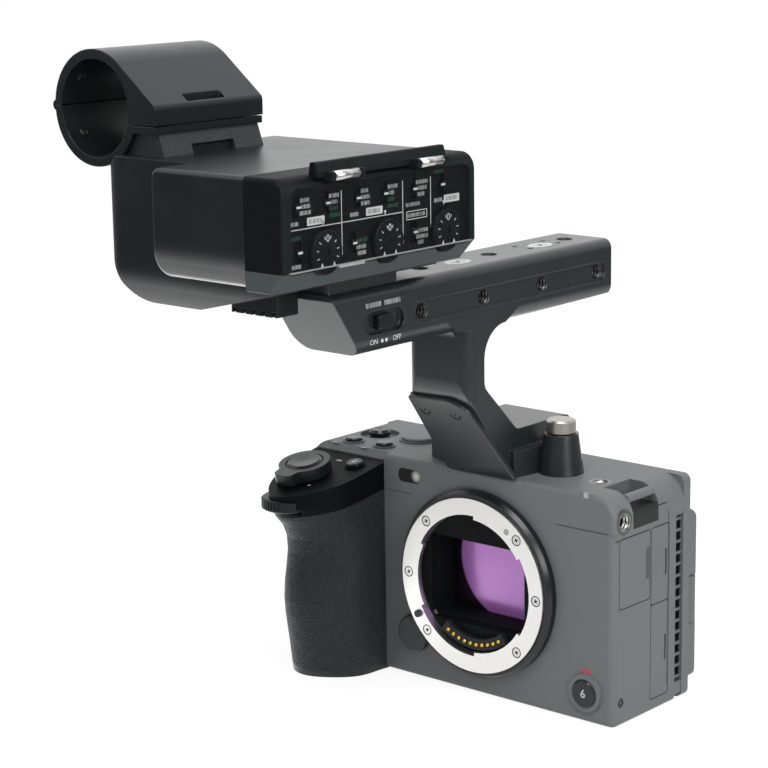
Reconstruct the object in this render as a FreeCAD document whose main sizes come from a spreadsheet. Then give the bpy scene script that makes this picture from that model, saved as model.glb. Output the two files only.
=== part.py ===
import FreeCAD, Part
import math
import os
import Sketcher

# Cinema camera body with its carrying handle and audio box.
# X runs to the camera's left-hand side (to the right when its front is faced), the lens looks
# along -Y, and Z is up. X = 0 is the optical axis, Y = 0 the sensor plane, Z = 0 the base.

os.makedirs("parts", exist_ok=True)
doc = FreeCAD.newDocument("cinema_camera")

# Driving sizes in millimetres and degrees

SIZES = {
    # casing
    "case_right": 55.2,
    "case_left": -74.4,
    "case_front": -13.5,
    "case_rear": 29.3,
    "case_top": 76.8,
    "grip_joint_x": -41.6,
    "seam_top": 64.9,
    "wall": 2.8,
    "side_wall": 5.0,
    "side_wall_rear": 21.2,
    "rear_wall_front": 25.4,
    "front_edge_round": 2.6,
    "base_edge_round": 2.0,
    "shoulder_round": 8.0,
    "left_shoulder_round": 4.0,
    "top_front_step": 2.2,
    "top_edge_round": 1.6,
    "base_plate_thick": 2.4,
    "fit_gap": 0.15,
    "move_gap": 0.35,
    # lens mount
    "mount_height": 38.94,
    "flange_depth": 18.0,
    "mount_ring_radius": 29.9,
    "mount_ring_thick": 3.2,
    "mount_bore": 24.3,
    "bayonet_throat": 23.05,
    "bayonet_tab_thick": 1.4,
    "bayonet_tab_half_angle": 27.0,
    "mount_screw_circle": 27.1,
    "mount_screw_head": 1.7,
    "mount_screw_head_thick": 0.9,
    "mount_screw_shank": 0.9,
    "mount_screw_long": 3.4,
    "collar_radius": 32.2,
    "collar_rim": 1.1,
    "lock_pin_x": -22.9,
    "lock_pin_z": 24.9,
    "lock_pin_radius": 1.25,
    "lock_pin_proud": 0.9,
    "release_x": -28.1,
    "release_z": 15.9,
    "release_radius": 6.3,
    "release_proud": 2.2,
    "release_plate_thick": 1.4,
    "light_box_radius": 24.0,
    "light_box_front": 14.6,
    "light_box_rear": 3.4,
    "gate_wide": 37.0,
    "gate_tall": 26.6,
    "contact_inner": 18.6,
    "contact_outer": 22.4,
    "contact_half_angle": 38.0,
    "contact_thick": 2.2,
    "sensor_wide": 43.0,
    "sensor_tall": 31.0,
    "sensor_glass_thick": 2.2,
    "sensor_frame_wide": 66.0,
    "sensor_frame_tall": 50.0,
    "sensor_frame_thick": 4.0,
    # inside
    "board_front": 8.4,
    "board_thick": 1.6,
    "board_left": -38.0,
    "board_base": 6.0,
    "board_top": 62.0,
    "socket_deep": 6.0,
    "fan_x": 12.0,
    "fan_height": 38.0,
    "fan_frame_half": 19.0,
    "fan_frame_front": 10.6,
    "fan_frame_thick": 7.6,
    "fan_radius": 15.6,
    "fan_hub": 6.4,
    "fan_shaft": 1.0,
    "fan_blades": 11.0,
    "fan_fins": 10.0,
    "battery_left": -70.6,
    "battery_front": -24.0,
    "battery_thick": 22.7,
    "battery_deep": 38.7,
    "battery_tall": 51.7,
    "battery_door_thick": 1.8,
    "battery_door_margin": 1.0,
    "battery_door_pin": 0.5,
    # grip
    "nose_base": 23.4,
    "nose_heel": 25.8,
    "nose_palm": 27.6,
    "nose_neck": 25.2,
    "nose_step": 27.9,
    "nose_hood": 34.4,
    "nose_head": 35.2,
    "heel_height": 14.0,
    "palm_height": 30.0,
    "neck_height": 48.0,
    "step_height": 53.6,
    "hood_height": 61.0,
    "head_height": 67.0,
    "grip_skin_thick": 0.8,
    "grip_skin_base": 2.6,
    "grip_skin_rear": 21.0,
    "grip_top_front": 67.0,
    "grip_top_rear": 74.2,
    "grip_top_run": 34.0,
    "grip_top_split_y": -12.0,
    "skin_top_front": 58.6,
    "skin_top_rear": 64.6,
    "skin_top_run": 32.5,
    # grip controls
    "shutter_x": -62.6,
    "shutter_y": -30.0,
    "shutter_radius": 6.3,
    "shutter_travel": 1.2,
    "shutter_proud": 5.0,
    "shutter_cap_thick": 3.2,
    "shutter_stem": 2.5,
    "shutter_stem_deep": 4.0,
    "zoom_ring_radius": 9.0,
    "zoom_ring_tall": 4.4,
    "zoom_lobe_reach": 12.4,
    "zoom_lobe_half": 3.6,
    "grip_button_x": -50.0,
    "grip_button_y": -19.0,
    "grip_button_radius": 2.9,
    "grip_button_proud": 1.6,
    "dial_x": -61.4,
    "dial_y": -39.6,
    "dial_height": 62.6,
    "dial_radius": 9.6,
    "dial_thick": 4.2,
    "dial_slot_wide": 16.6,
    "dial_shaft": 1.0,
    # top controls
    "small_button_radius": 3.0,
    "small_button_ring": 4.0,
    "small_button_proud": 1.7,
    "left_button_x": -62.4,
    "left_button_y": -5.6,
    "right_button_x": -49.3,
    "right_button_y": -4.4,
    "stick_x": -62.9,
    "stick_y": 8.8,
    "stick_well": 7.0,
    "stick_well_deep": 1.6,
    "stick_cap": 3.8,
    "stick_root": 4.8,
    "record_x": -45.8,
    "record_y": 10.3,
    "record_radius": 6.2,
    "record_ring": 7.1,
    "record_proud": 1.5,
    "front_record_x": 44.0,
    "front_record_z": 10.2,
    "front_record_radius": 4.6,
    "front_record_ring": 6.4,
    "front_record_proud": 1.5,
    "tally_x": -30.3,
    "tally_z": 71.0,
    "tally_wide": 10.0,
    "tally_tall": 4.8,
    # threads and strap slot
    "thread_bore": 2.6,
    "insert_radius": 4.1,
    "insert_deep": 6.5,
    "side_screw_head": 1.5,
    "side_screw_deep": 0.8,
    "side_screw_y": -9.6,
    "side_screw_z": 8.1,
    "side_thread_y": -8.2,
    "side_thread_z": 68.2,
    "top_thread_x": 38.0,
    "top_thread_y": 2.3,
    "tripod_depth": 5.5,
    "strap_left": 43.5,
    "strap_front": -3.5,
    "strap_rear": 11.0,
    "strap_floor": 71.0,
    "strap_bar_x": 50.4,
    "strap_bar_wide": 3.0,
    "strap_bar_drop": 3.8,
    "strap_bar_tall": 2.8,
    # doors and vent
    "door_thick": 1.5,
    "audio_door_front": -10.6,
    "audio_door_rear": 6.2,
    "audio_door_base": 39.7,
    "audio_door_top": 62.7,
    "rear_door_front": 7.2,
    "rear_door_rear": 17.0,
    "rear_door_base": 4.6,
    "rear_door_split": 36.8,
    "rear_door_top": 62.7,
    "vent_base": 7.4,
    "vent_pitch": 3.9,
    "vent_rib_thick": 0.9,
    "vent_ribs": 15.0,
    "vent_rib_inset": 0.8,
    "vent_rib_deep": 2.6,
    # monitor
    "monitor_left": -22.0,
    "monitor_base": 5.0,
    "monitor_top": 63.0,
    "monitor_thick": 5.2,
    "monitor_gap": 0.7,
    "monitor_side_inset": 1.0,
    "hinge_inset": 1.5,
    "hinge_pin": 0.9,
    "hinge_base": 24.4,
    "hinge_top": 41.0,
    "hinge_barrel": 2.3,
    "thumb_rest_deep": 3.4,
    "wheel_x": -49.0,
    "wheel_z": 34.0,
    "wheel_radius": 9.4,
    "wheel_hole": 4.4,
    "wheel_thick": 2.0,
    "rear_button_radius": 2.6,
    # handle
    "bar_left": -14.5,
    "bar_right": 11.5,
    "bar_base": 128.7,
    "bar_base_rear": 130.3,
    "bar_top": 149.0,
    "bar_rear": 45.0,
    "bar_front_base": -83.2,
    "bar_front_top": -95.5,
    "bar_base_round": 6.0,
    "bar_top_round": 4.5,
    "bar_low_edge_round": 4.8,
    "bar_high_edge_round": 3.2,
    "block_inset": 2.5,
    "groove_height": 138.5,
    "groove_half": 3.3,
    "groove_deep": 0.9,
    "groove_front": -59.0,
    "groove_rear": 41.6,
    "side_hole_first": 37.5,
    "side_hole_pitch": 30.6,
    "stem_front": -32.6,
    "stem_rear": -24.4,
    "stem_throat_round": 11.0,
    "stem_corner_round": 4.5,
    "stem_front_round": 3.0,
    "stem_scoop_round": 12.0,
    "stem_run_out": 8.0,
    "plate_overhang": 0.4,
    "foot_front": -13.8,
    "foot_plate_lean": 18.3,
    "foot_plate_top": 104.4,
    "foot_top": 92.4,
    "foot_rear": 22.0,
    "foot_left": -28.4,
    "foot_wing_tall": 9.0,
    "foot_cover_thick": 1.6,
    "boss_x": 20.4,
    "boss_y": 4.8,
    "boss_base_radius": 7.6,
    "boss_top_radius": 5.7,
    "boss_top": 90.2,
    "knob_radius": 4.9,
    "knob_tall": 4.6,
    "knob_shank": 2.0,
    "stem_bend": 109.2,
    "foot_wing_front": -4.5,
    "foot_wing_rear": 14.0,
    "handle_hole_deep": 6.5,
    "handle_top_hole_x": -0.9,
    "handle_top_hole_front": -41.2,
    "handle_top_hole_middle": -6.3,
    "handle_top_hole_rear": 34.8,
    "shoe_screw_y": 19.2,
    "shoe_screw_half_x": 3.3,
    "shoe_screw_half_y": 7.7,
    "shoe_screw_radius": 1.0,
    "switch_y": -72.6,
    "switch_z": 138.2,
    "switch_slot_half": 9.1,
    "switch_slot_tall": 7.0,
    "switch_deep": 1.6,
    "switch_knob_half": 3.4,
    "switch_knob_tall": 4.6,
    "switch_proud": 0.8,
    # audio box
    "box_left": -66.0,
    "box_right": 26.0,
    "box_front": -117.0,
    "box_rear": -47.0,
    "box_top": 188.0,
    "belly_drop": 7.9,
    "belly_right": -22.0,
    "box_belly_round": 25.0,
    "box_left_round": 6.0,
    "box_corner_round": 11.0,
    "box_floor": 152.4,
    "nose_left": -27.0,
    "nose_front": -131.0,
    "nose_floor": 156.5,
    "panel_seam": 10.8,
    "panel_floor": 155.1,
    "panel_shelf_top": 161.6,
    "panel_shelf_in": 20.0,
    "panel_round": 5.0,
    "panel_recess": 1.4,
    "panel_margin": 3.2,
    "block_rear": -63.0,
    "bar_side_gap": 0.4,
    "clamp_left": -19.7,
    "clamp_right": -0.5,
    "clamp_front": -107.0,
    "clamp_rear": -97.2,
    "clamp_base": 142.8,
    "clamp_ribs": 5.0,
    "clamp_rib_pitch": 4.0,
    # audio controls
    "level_dial_radius": 6.4,
    "level_dial_thick": 2.6,
    "level_dial_height": 165.8,
    "level_dial_front": -113.3,
    "level_dial_pitch": 26.7,
    "level_dial_face": 26.4,
    "level_dial_shaft": 1.0,
    "lever_long": 2.2,
    "lever_tall": 2.0,
    "lever_proud": 0.9,
    "lever_slot_tall": 6.4,
    "lever_slot_deep": 1.2,
    "cover_thick": 1.2,
    "cover_front": -130.6,
    "cover_rear": -50.8,
    "cover_base": 161.8,
    "cover_inner_face": 27.2,
    "cover_top": 185.3,
    "cover_hinge_z": 187.4,
    "cover_barrel": 1.35,
    "cover_pin": 0.6,
    "barrel_front": -112.0,
    "barrel_second": -74.8,
    "barrel_long": 10.2,
    "hinge_lug_wide": 1.6,
    "hinge_strip_front": -116.6,
    "hinge_strip_rear": -60.4,
    "hinge_strip_left": 22.6,
    "hinge_strip_tall": 3.4,
    "xlr_radius": 11.0,
    "xlr_ring": 9.6,
    "xlr_core": 7.9,
    "xlr_pin_hole": 1.25,
    "xlr_pin_circle": 4.8,
    "xlr_deep": 13.0,
    "xlr_front_y": -96.0,
    "xlr_pitch": 27.0,
    "xlr_height": 169.5,
    # microphone holder
    "mic_x": -70.0,
    "mic_z": 201.5,
    "mic_outer": 18.0,
    "mic_bore": 15.1,
    "mic_front": -113.0,
    "mic_rear": -67.0,
    "mic_cover_edge_x": -43.0,
    "mic_cover_edge_z": 203.0,
    "mic_edge_round": 2.2,
    "mic_cover_lip_z": 197.0,
    "mic_base_left": -60.0,
    "mic_base_front": -111.0,
    "mic_base_rear": -68.5,
    "mic_notch_front": -98.8,
    "mic_notch_rear": -80.7,
    "mic_notch_tall": 3.0,
    "mic_latch_front": -98.6,
    "mic_latch_rear": -82.4,
    "mic_latch_wide": 2.6,
    "mic_latch_deep": 1.5,
    "mic_hinge_barrel": 1.7,
    "mic_hinge_pin": 0.75,
    "mic_hinge_out": 0.6,
    "mic_base_foot_x": -41.6,
    "mic_base_top_x": -44.0,
    "mic_base_top_z": 194.8,
}

sheet = doc.addObject("Spreadsheet::Sheet", "Sizes")
for row, (alias, number) in enumerate(SIZES.items(), start=1):
    sheet.set(f"A{row}", alias)
    sheet.set(f"B{row}", str(number))
    sheet.setAlias(f"B{row}", alias)
doc.recompute()


class Size:
    """A length: its number, and the expression that binds it to the sheet."""

    def __init__(self, value, text):
        self.value = value
        self.text = text

    def __add__(self, other):
        other = as_size(other)
        return Size(self.value + other.value, f"({self.text} + {other.text})")

    def __sub__(self, other):
        other = as_size(other)
        return Size(self.value - other.value, f"({self.text} - {other.text})")

    def __mul__(self, other):
        other = as_size(other)
        return Size(self.value * other.value, f"({self.text} * {other.text})")

    def __truediv__(self, other):
        other = as_size(other)
        return Size(self.value / other.value, f"({self.text} / {other.text})")

    def __neg__(self):
        return Size(-self.value, f"(-1 * {self.text})")

    def __radd__(self, other):
        return as_size(other) + self

    def __rsub__(self, other):
        return as_size(other) - self

    def __rmul__(self, other):
        return as_size(other) * self


def as_size(length):
    return length if isinstance(length, Size) else Size(float(length), repr(float(length)))


class Sheet:
    """The sizes of the sheet, by name."""

    def __getattr__(self, alias):
        return Size(float(sheet.get(alias)), f"Sizes.{alias}")


s = Sheet()


def number(length):
    return as_size(length).value


def bind(target, path, length):
    target.setExpression(path, as_size(length).text)


# Sketches: closed loops of lines and tangent arcs, and circles, every corner bound to the sheet

ORIGIN_POINT = (-1, 1)
START, END, CENTRE = 1, 2, 3


def pin_point(sketch, geometry, point, x, y):
    """Fix one point of a sketch at x, y from the sketch's origin."""
    for kind, length in (("DistanceX", x), ("DistanceY", y)):
        index = sketch.addConstraint(
            Sketcher.Constraint(kind, *ORIGIN_POINT, geometry, point, number(length)))
        bind(sketch, f"Constraints[{index}]", length)


def circle(sketch, x, y, radius):
    centre = FreeCAD.Vector(number(x), number(y), 0)
    ring = sketch.addGeometry(Part.Circle(centre, FreeCAD.Vector(0, 0, 1), number(radius)), False)
    pin_point(sketch, ring, CENTRE, x, y)
    index = sketch.addConstraint(Sketcher.Constraint("Radius", ring, number(radius)))
    bind(sketch, f"Constraints[{index}]", radius)


class Corner:
    """One corner of a loop, sharp or rounded, with its arc worked out from its neighbours."""

    def __init__(self, before, here, after, radius):
        self.here = here
        self.radius = radius
        self.arc = None
        self.arrive = here
        self.leave = here
        if radius is None:
            return
        back = (before - here).normalize()
        ahead = (after - here).normalize()
        half = back.getAngle(ahead) / 2
        reach = number(radius) / math.tan(half)
        self.arrive = here + back * reach
        self.leave = here + ahead * reach
        middle = (back + ahead).normalize()
        centre = here + middle * (number(radius) / math.sin(half))
        mid_arc = centre - middle * number(radius)
        self.arc = Part.Arc(self.arrive, mid_arc, self.leave)
        self.turns_left = (here - before).cross(after - here).z > 0


def loop(sketch, corners):
    """Draw a closed loop through corners given as (x, y) or (x, y, radius)."""
    points = [FreeCAD.Vector(number(c[0]), number(c[1]), 0) for c in corners]
    count = len(points)
    bends = []
    for i, corner in enumerate(corners):
        radius = corner[2] if len(corner) > 2 else None
        bends.append(Corner(points[i - 1], points[i], points[(i + 1) % count], radius))
    lines = []
    for i, bend in enumerate(bends):
        ahead = bends[(i + 1) % count]
        lines.append(sketch.addGeometry(Part.LineSegment(bend.leave, ahead.arrive), False))
    for i, bend in enumerate(bends):
        x, y = corners[i][0], corners[i][1]
        before, after = lines[i - 1], lines[i]
        if bend.arc is None:
            sketch.addConstraint(Sketcher.Constraint("Coincident", before, END, after, START))
            pin_point(sketch, after, START, x, y)
            continue
        arc = sketch.addGeometry(bend.arc, False)
        first, last = (START, END) if bend.turns_left else (END, START)
        sketch.addConstraint(Sketcher.Constraint("Tangent", before, END, arc, first))
        sketch.addConstraint(Sketcher.Constraint("Tangent", arc, last, after, START))
        index = sketch.addConstraint(Sketcher.Constraint("Radius", arc, number(bend.radius)))
        bind(sketch, f"Constraints[{index}]", bend.radius)
        tip = sketch.addGeometry(Part.Point(bend.here), True)
        sketch.addConstraint(Sketcher.Constraint("PointOnObject", tip, 1, before))
        sketch.addConstraint(Sketcher.Constraint("PointOnObject", tip, 1, after))
        pin_point(sketch, tip, 1, x, y)


def box(low_x, high_x, low_y, high_y, radius=None):
    """Corners of a rectangle, with all four rounded where a radius is given."""
    corners = [(low_x, low_y), (high_x, low_y), (high_x, high_y), (low_x, high_y)]
    if radius is None:
        return corners
    return [(x, y, radius) for x, y in corners]


class Disc:
    """A round outline of a sketch."""

    def __init__(self, x, y, radius):
        self.x, self.y, self.radius = x, y, radius


def draw(sketch, outlines):
    for outline in outlines:
        if isinstance(outline, Disc):
            circle(sketch, outline.x, outline.y, outline.radius)
        else:
            loop(sketch, outline)


class Piece:
    """A body of the document, built from features on its own origin planes."""

    def __init__(self, name):
        self.name = name
        self.body = doc.addObject("PartDesign::Body", name)
        self.body.Label = name

    def sketch(self, plane, offset, outlines, shift=(0, 0)):
        support = [f for f in self.body.Origin.OriginFeatures if f.Role == f"{plane}_Plane"][0]
        sketch = self.body.newObject("Sketcher::SketchObject", f"{self.name}_sketch")
        sketch.AttachmentSupport = [(support, "")]
        sketch.MapMode = "FlatFace"
        base = FreeCAD.Vector(number(shift[0]), number(shift[1]), number(offset))
        sketch.AttachmentOffset = FreeCAD.Placement(base, FreeCAD.Rotation())
        for axis, length in zip("xyz", (*shift, offset)):
            bind(sketch, f".AttachmentOffset.Base.{axis}", length)
        draw(sketch, outlines)
        sketch.Visibility = False
        return sketch

    def prism(self, kind, plane, low, high, outlines):
        """Add or take away what lies between low and high along the plane's own axis."""
        cuts = kind == "PartDesign::Pocket"
        if plane == "XZ":
            offset = -low if cuts else -high
        else:
            offset = high if cuts else low
        feature = self.body.newObject(kind, f"{self.name}_{kind.split('::')[1].lower()}")
        feature.Profile = self.sketch(plane, offset, outlines)
        feature.Length = number(high) - number(low)
        bind(feature, "Length", as_size(high) - low)
        self.body.Tip = feature
        return feature

    def pad(self, plane, low, high, *outlines):
        return self.prism("PartDesign::Pad", plane, low, high, outlines)

    def pocket(self, plane, low, high, *outlines):
        return self.prism("PartDesign::Pocket", plane, low, high, outlines)

    def turn(self, outline, groove=False):
        """Turn an outline of (radius, height) corners about the body's own Z axis."""
        kind = "PartDesign::Groove" if groove else "PartDesign::Revolution"
        feature = self.body.newObject(kind, f"{self.name}_turned")
        sketch = self.sketch("XZ", 0, [outline])
        feature.Profile = sketch
        feature.ReferenceAxis = (sketch, ["V_Axis"])
        feature.Angle = 360
        self.body.Tip = feature
        return feature

    def ring_of(self, feature, count, angle=360):
        """Repeat a feature about the body's own Z axis."""
        pattern = self.body.newObject("PartDesign::PolarPattern", f"{self.name}_ring")
        axis = [f for f in self.body.Origin.OriginFeatures if f.Role == "Z_Axis"][0]
        pattern.Originals = [feature]
        pattern.Axis = (axis, [""])
        pattern.Angle = angle
        pattern.Occurrences = int(count)
        self.body.Tip = pattern
        return pattern

    def row_of(self, feature, axis_role, length, count):
        """Repeat a feature along one of the body's own axes."""
        pattern = self.body.newObject("PartDesign::LinearPattern", f"{self.name}_row")
        axis = [f for f in self.body.Origin.OriginFeatures if f.Role == axis_role][0]
        pattern.Originals = [feature]
        pattern.Direction = (axis, [""])
        pattern.Length = number(length)
        bind(pattern, "Length", length)
        pattern.Occurrences = int(count)
        self.body.Tip = pattern
        return pattern

    def edge_names(self, wanted):
        doc.recompute()
        shape = self.body.Tip.Shape
        return [f"Edge{i}" for i, edge in enumerate(shape.Edges, start=1) if wanted(edge)]

    def fillet(self, radius, wanted):
        return self.dress("PartDesign::Fillet", "Radius", radius, wanted)

    def chamfer(self, size, wanted):
        return self.dress("PartDesign::Chamfer", "Size", size, wanted)

    def dress(self, kind, path, size, wanted):
        names = self.edge_names(wanted)
        if not names:
            raise RuntimeError(f"{self.name}: no edge to round")
        base = self.body.Tip
        feature = self.body.newObject(kind, f"{self.name}_edge")
        feature.Base = (base, names)
        setattr(feature, path, number(size))
        bind(feature, path, size)
        self.body.Tip = feature
        return feature

    def place(self, x, y, z, axis=(0, 0, 1), angle=0):
        """Put the finished body in its place, turned about an axis by an angle in degrees."""
        spot = FreeCAD.Vector(number(x), number(y), number(z))
        turn = FreeCAD.Rotation(FreeCAD.Vector(*axis), number(angle))
        self.body.Placement = FreeCAD.Placement(spot, turn)
        for path, length in zip("xyz", (x, y, z)):
            bind(self.body, f".Placement.Base.{path}", length)
        return self


# Directions that a turned piece's own Z axis is laid along
FACING_FRONT = ((1, 0, 0), 90)
FACING_REAR = ((1, 0, 0), -90)
FACING_RIGHT = ((0, 1, 0), 90)


def runs_along(direction, **limits):
    """Edges that run along a direction, with their middle within the limits given per axis."""
    wanted = FreeCAD.Vector(*direction)

    def test(edge):
        first, last = edge.Vertexes[0].Point, edge.Vertexes[-1].Point
        run = last - first
        if run.Length < 1e-6 or not isinstance(edge.Curve, Part.Line):
            return False
        if run.normalize().cross(wanted).Length > 1e-4:
            return False
        middle = (first + last) * 0.5
        return all(low <= getattr(middle, axis) <= high for axis, (low, high) in limits.items())

    return test


def about(length, slack=0.05):
    """A narrow range around a size, for picking edges."""
    return number(length) - slack, number(length) + slack


def turned(name, outline):
    piece = Piece(name)
    piece.turn(outline)
    return piece


def shaped(name, shape):
    """A piece whose form follows curved sections, with its shape worked out from the sheet."""
    feature = doc.addObject("Part::Feature", name)
    feature.Label = name
    feature.Shape = shape
    return feature


def box_shape(low, high):
    """A plain block between two corners."""
    low = [number(v) for v in low]
    high = [number(v) for v in high]
    sides = [b - a for a, b in zip(low, high)]
    return Part.makeBox(*sides, FreeCAD.Vector(*low))


def rod_shape(base, direction, radius, length):
    return Part.makeCylinder(number(radius), number(length),
                             FreeCAD.Vector(*[number(v) for v in base]),
                             FreeCAD.Vector(*direction))


PARTS = []


def keep(piece):
    """Hand a finished sub-part on for export."""
    PARTS.append(piece.body if isinstance(piece, Piece) else piece)
    return piece


# Lens mount, all turned about the optical axis with local Z pointing out of the camera

def lens_spot(piece):
    return piece.place(0, -s.flange_depth, s.mount_height, *FACING_FRONT)


def radial(distance, degrees):
    """A point at a distance and angle from the axis, as bound x and y."""
    angle = math.radians(degrees)
    return distance * round(math.cos(angle), 9), distance * round(math.sin(angle), 9)


SCREW_ANGLES = (0, 45, 135, 180, 225, 315)


def lens_mount_ring():
    ring = Piece("lens_mount_ring")
    ring.pad("XY", -s.bayonet_tab_thick, 0, Disc(0, 0, s.mount_bore + 0.1), Disc(0, 0, s.bayonet_throat))
    gap_half = 60 - s.bayonet_tab_half_angle
    reach = s.mount_bore + 3
    spread = reach * math.tan(math.radians(gap_half.value))
    gap = ring.pocket("XY", -s.bayonet_tab_thick, 0, [(0, 0), (reach, -spread), (reach, spread)])
    ring.ring_of(gap, 3)
    ring.pad("XY", -s.mount_ring_thick, 0, Disc(0, 0, s.mount_ring_radius), Disc(0, 0, s.mount_bore))
    heads = [Disc(*radial(s.mount_screw_circle, a), s.mount_screw_head + 0.08) for a in SCREW_ANGLES]
    ring.pocket("XY", -s.mount_screw_head_thick - 0.1, 0, *heads)
    holes = [Disc(*radial(s.mount_screw_circle, a), s.mount_screw_shank + 0.08) for a in SCREW_ANGLES]
    pin = Disc(s.lock_pin_x, s.lock_pin_z - s.mount_height, s.lock_pin_radius + 0.06)
    ring.pocket("XY", -s.mount_ring_thick, 0, pin, *holes)
    keep(lens_spot(ring))


def mount_collar():
    seat = s.flange_depth + s.case_front
    collar = turned("mount_collar", [
        (s.light_box_radius + s.fit_gap, -seat), (s.collar_radius, -seat),
        (s.collar_radius, -seat + 2.2), (s.collar_radius - s.collar_rim, -0.9),
        (s.mount_ring_radius + s.fit_gap, -0.9), (s.mount_ring_radius + s.fit_gap, -s.mount_ring_thick),
        (s.light_box_radius + s.fit_gap, -s.mount_ring_thick)])
    holes = [Disc(*radial(s.mount_screw_circle, a), s.mount_screw_shank + 0.08) for a in SCREW_ANGLES]
    pin = Disc(s.lock_pin_x, s.lock_pin_z - s.mount_height, s.lock_pin_radius + 0.2)
    collar.pocket("XY", -seat, -s.mount_ring_thick, pin, *holes)
    collar.pocket("XY", -seat, 0, Disc(s.release_x, s.release_z - s.mount_height,
                                       s.release_radius + s.move_gap))
    keep(lens_spot(collar))


def light_box():
    """The dark tunnel between the mount and the sensor, with its rectangular gate."""
    tunnel = Piece("light_box")
    front = s.light_box_front - s.flange_depth
    rear = s.light_box_rear - s.flange_depth
    half_wide = s.gate_wide / 2
    half_tall = s.gate_tall / 2
    tunnel.pad("XY", rear, front, Disc(0, 0, s.light_box_radius))
    tunnel.pocket("XY", rear, front, box(-half_wide, half_wide, -half_tall, half_tall, 1.2))
    tunnel.pocket("XY", front - 2.4, front,
                  box(-half_wide - 1.4, half_wide + 1.4, -half_tall - 1.6, half_tall + 1.2, 1.6))
    keep(lens_spot(tunnel))


def contact_block():
    """The curved block of lens contacts that stands on the lower edge of the light box."""
    front = s.light_box_front - s.flange_depth
    block = Piece("contact_block")
    block.pad("XY", front, front + s.contact_thick,
              Disc(0, 0, s.contact_outer), Disc(0, 0, s.contact_inner))
    far = s.contact_outer + 4
    rise = far * math.tan(math.radians(90 - s.contact_half_angle.value))
    block.pocket("XY", front, front + s.contact_thick,
                 [(0, 0), (far, -rise), (far, far), (-far, far), (-far, -rise)])
    first = block.pad("XY", front + s.contact_thick, front + s.contact_thick + 0.5,
                      Disc(*radial((s.contact_inner + s.contact_outer) / 2, -90 - 31.5), 0.45))
    block.ring_of(first, 10, 63)
    keep(lens_spot(block))


def lens_release():
    """The release button with the plate behind the cover and the lock pin that it draws back."""
    release = Piece("lens_release")
    wall_back = s.flange_depth + s.case_front + s.wall
    plate_front = -wall_back - 0.4
    plate_back = plate_front - s.release_plate_thick
    button_x = s.release_x
    button_z = s.release_z - s.mount_height
    pin_x = s.lock_pin_x
    pin_z = s.lock_pin_z - s.mount_height
    release.pad("XY", plate_back, plate_front, Disc(button_x, button_z, s.release_radius - 1.2))
    release.pad("XY", plate_back, plate_front, [
        (button_x + 1.8, button_z - 1.6), (pin_x + 2.0, pin_z - 0.4), (pin_x + 1.2, pin_z + 2.0),
        (pin_x - 1.6, pin_z + 1.6), (button_x - 2.2, button_z + 1.4)])
    release.pad("XY", plate_front, -s.flange_depth - s.case_front + s.release_proud,
                Disc(button_x, button_z, s.release_radius))
    release.pad("XY", plate_front, s.lock_pin_proud, Disc(pin_x, pin_z, s.lock_pin_radius))
    top = -s.flange_depth - s.case_front + s.release_proud
    release.fillet(0.8, lambda e: isinstance(e.Curve, Part.Circle)
                   and abs(e.Curve.Radius - s.release_radius.value) < 0.01
                   and abs(e.Curve.Center.z - top.value) < 0.01)
    keep(lens_spot(release))


def sensor():
    """The cover glass and the floating frame behind it."""
    unit = Piece("sensor")
    glass_front = s.light_box_rear - 0.5
    rear = -(s.sensor_frame_thick - glass_front + s.sensor_glass_thick)
    frame_front = glass_front - s.sensor_glass_thick
    half_wide = s.sensor_frame_wide / 2
    half_tall = s.sensor_frame_tall / 2
    unit.pad("XY", rear, frame_front, box(-half_wide, half_wide, -half_tall, half_tall, 4))
    unit.pad("XY", frame_front, glass_front,
             box(-s.sensor_wide / 2, s.sensor_wide / 2, -s.sensor_tall / 2, s.sensor_tall / 2, 0.8))
    keep(unit.place(0, 0, s.mount_height, *FACING_FRONT))


# Casing

def front_cover():
    cover = Piece("front_cover")
    front, wall = s.case_front, s.wall
    inner = s.case_right - s.side_wall
    cover.pad("XY", 0, s.seam_top, [
        (s.grip_joint_x, front), (s.case_right, front, s.front_edge_round),
        (s.case_right, s.side_wall_rear), (inner, s.side_wall_rear),
        (inner, front + wall), (s.grip_joint_x, front + wall)])
    cover.fillet(s.base_edge_round, lambda e: e.BoundBox.ZMax < 0.01 and
                 (e.BoundBox.YMax < front.value + s.front_edge_round.value + 0.01
                  or e.BoundBox.XMin > s.case_right.value - 0.01)
                 and e.BoundBox.XMax > s.grip_joint_x.value + 1)
    cover.pocket("XZ", front, front + wall, Disc(0, s.mount_height, s.light_box_radius + s.fit_gap))
    cover.pocket("XZ", front, front + wall,
                 Disc(s.release_x, s.release_z, s.release_radius + s.fit_gap),
                 Disc(s.front_record_x, s.front_record_z, s.front_record_radius + s.fit_gap))
    cover.pocket("XZ", front, front + wall, Disc(s.lock_pin_x, s.lock_pin_z, s.lock_pin_radius + 0.4))
    cover.pad("XZ", front - 0.9, front,
              Disc(s.front_record_x, s.front_record_z, s.front_record_ring),
              Disc(s.front_record_x, s.front_record_z, s.front_record_radius + s.fit_gap))
    gap = s.move_gap
    face = s.case_right
    bay = face - s.door_thick - gap
    cover.pocket("YZ", bay, face,
                 box(s.audio_door_front - gap, s.audio_door_rear + gap,
                     s.audio_door_base - gap, s.audio_door_top + gap, 1.0))
    cover.pocket("YZ", bay, face,
                 box(s.rear_door_front - gap, s.rear_door_rear + gap,
                     s.rear_door_base - gap, s.rear_door_top + gap, 1.0))
    cover.pocket("YZ", inner, bay, *socket_windows(0.3))
    cover.pocket("YZ", face - s.insert_deep, face,
                 Disc(s.side_thread_y, s.side_thread_z, s.insert_radius + 0.02))
    cover.pocket("YZ", face - s.side_screw_deep, face,
                 Disc(s.side_screw_y, s.side_screw_z, s.side_screw_head + 0.05))
    keep(cover)


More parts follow.
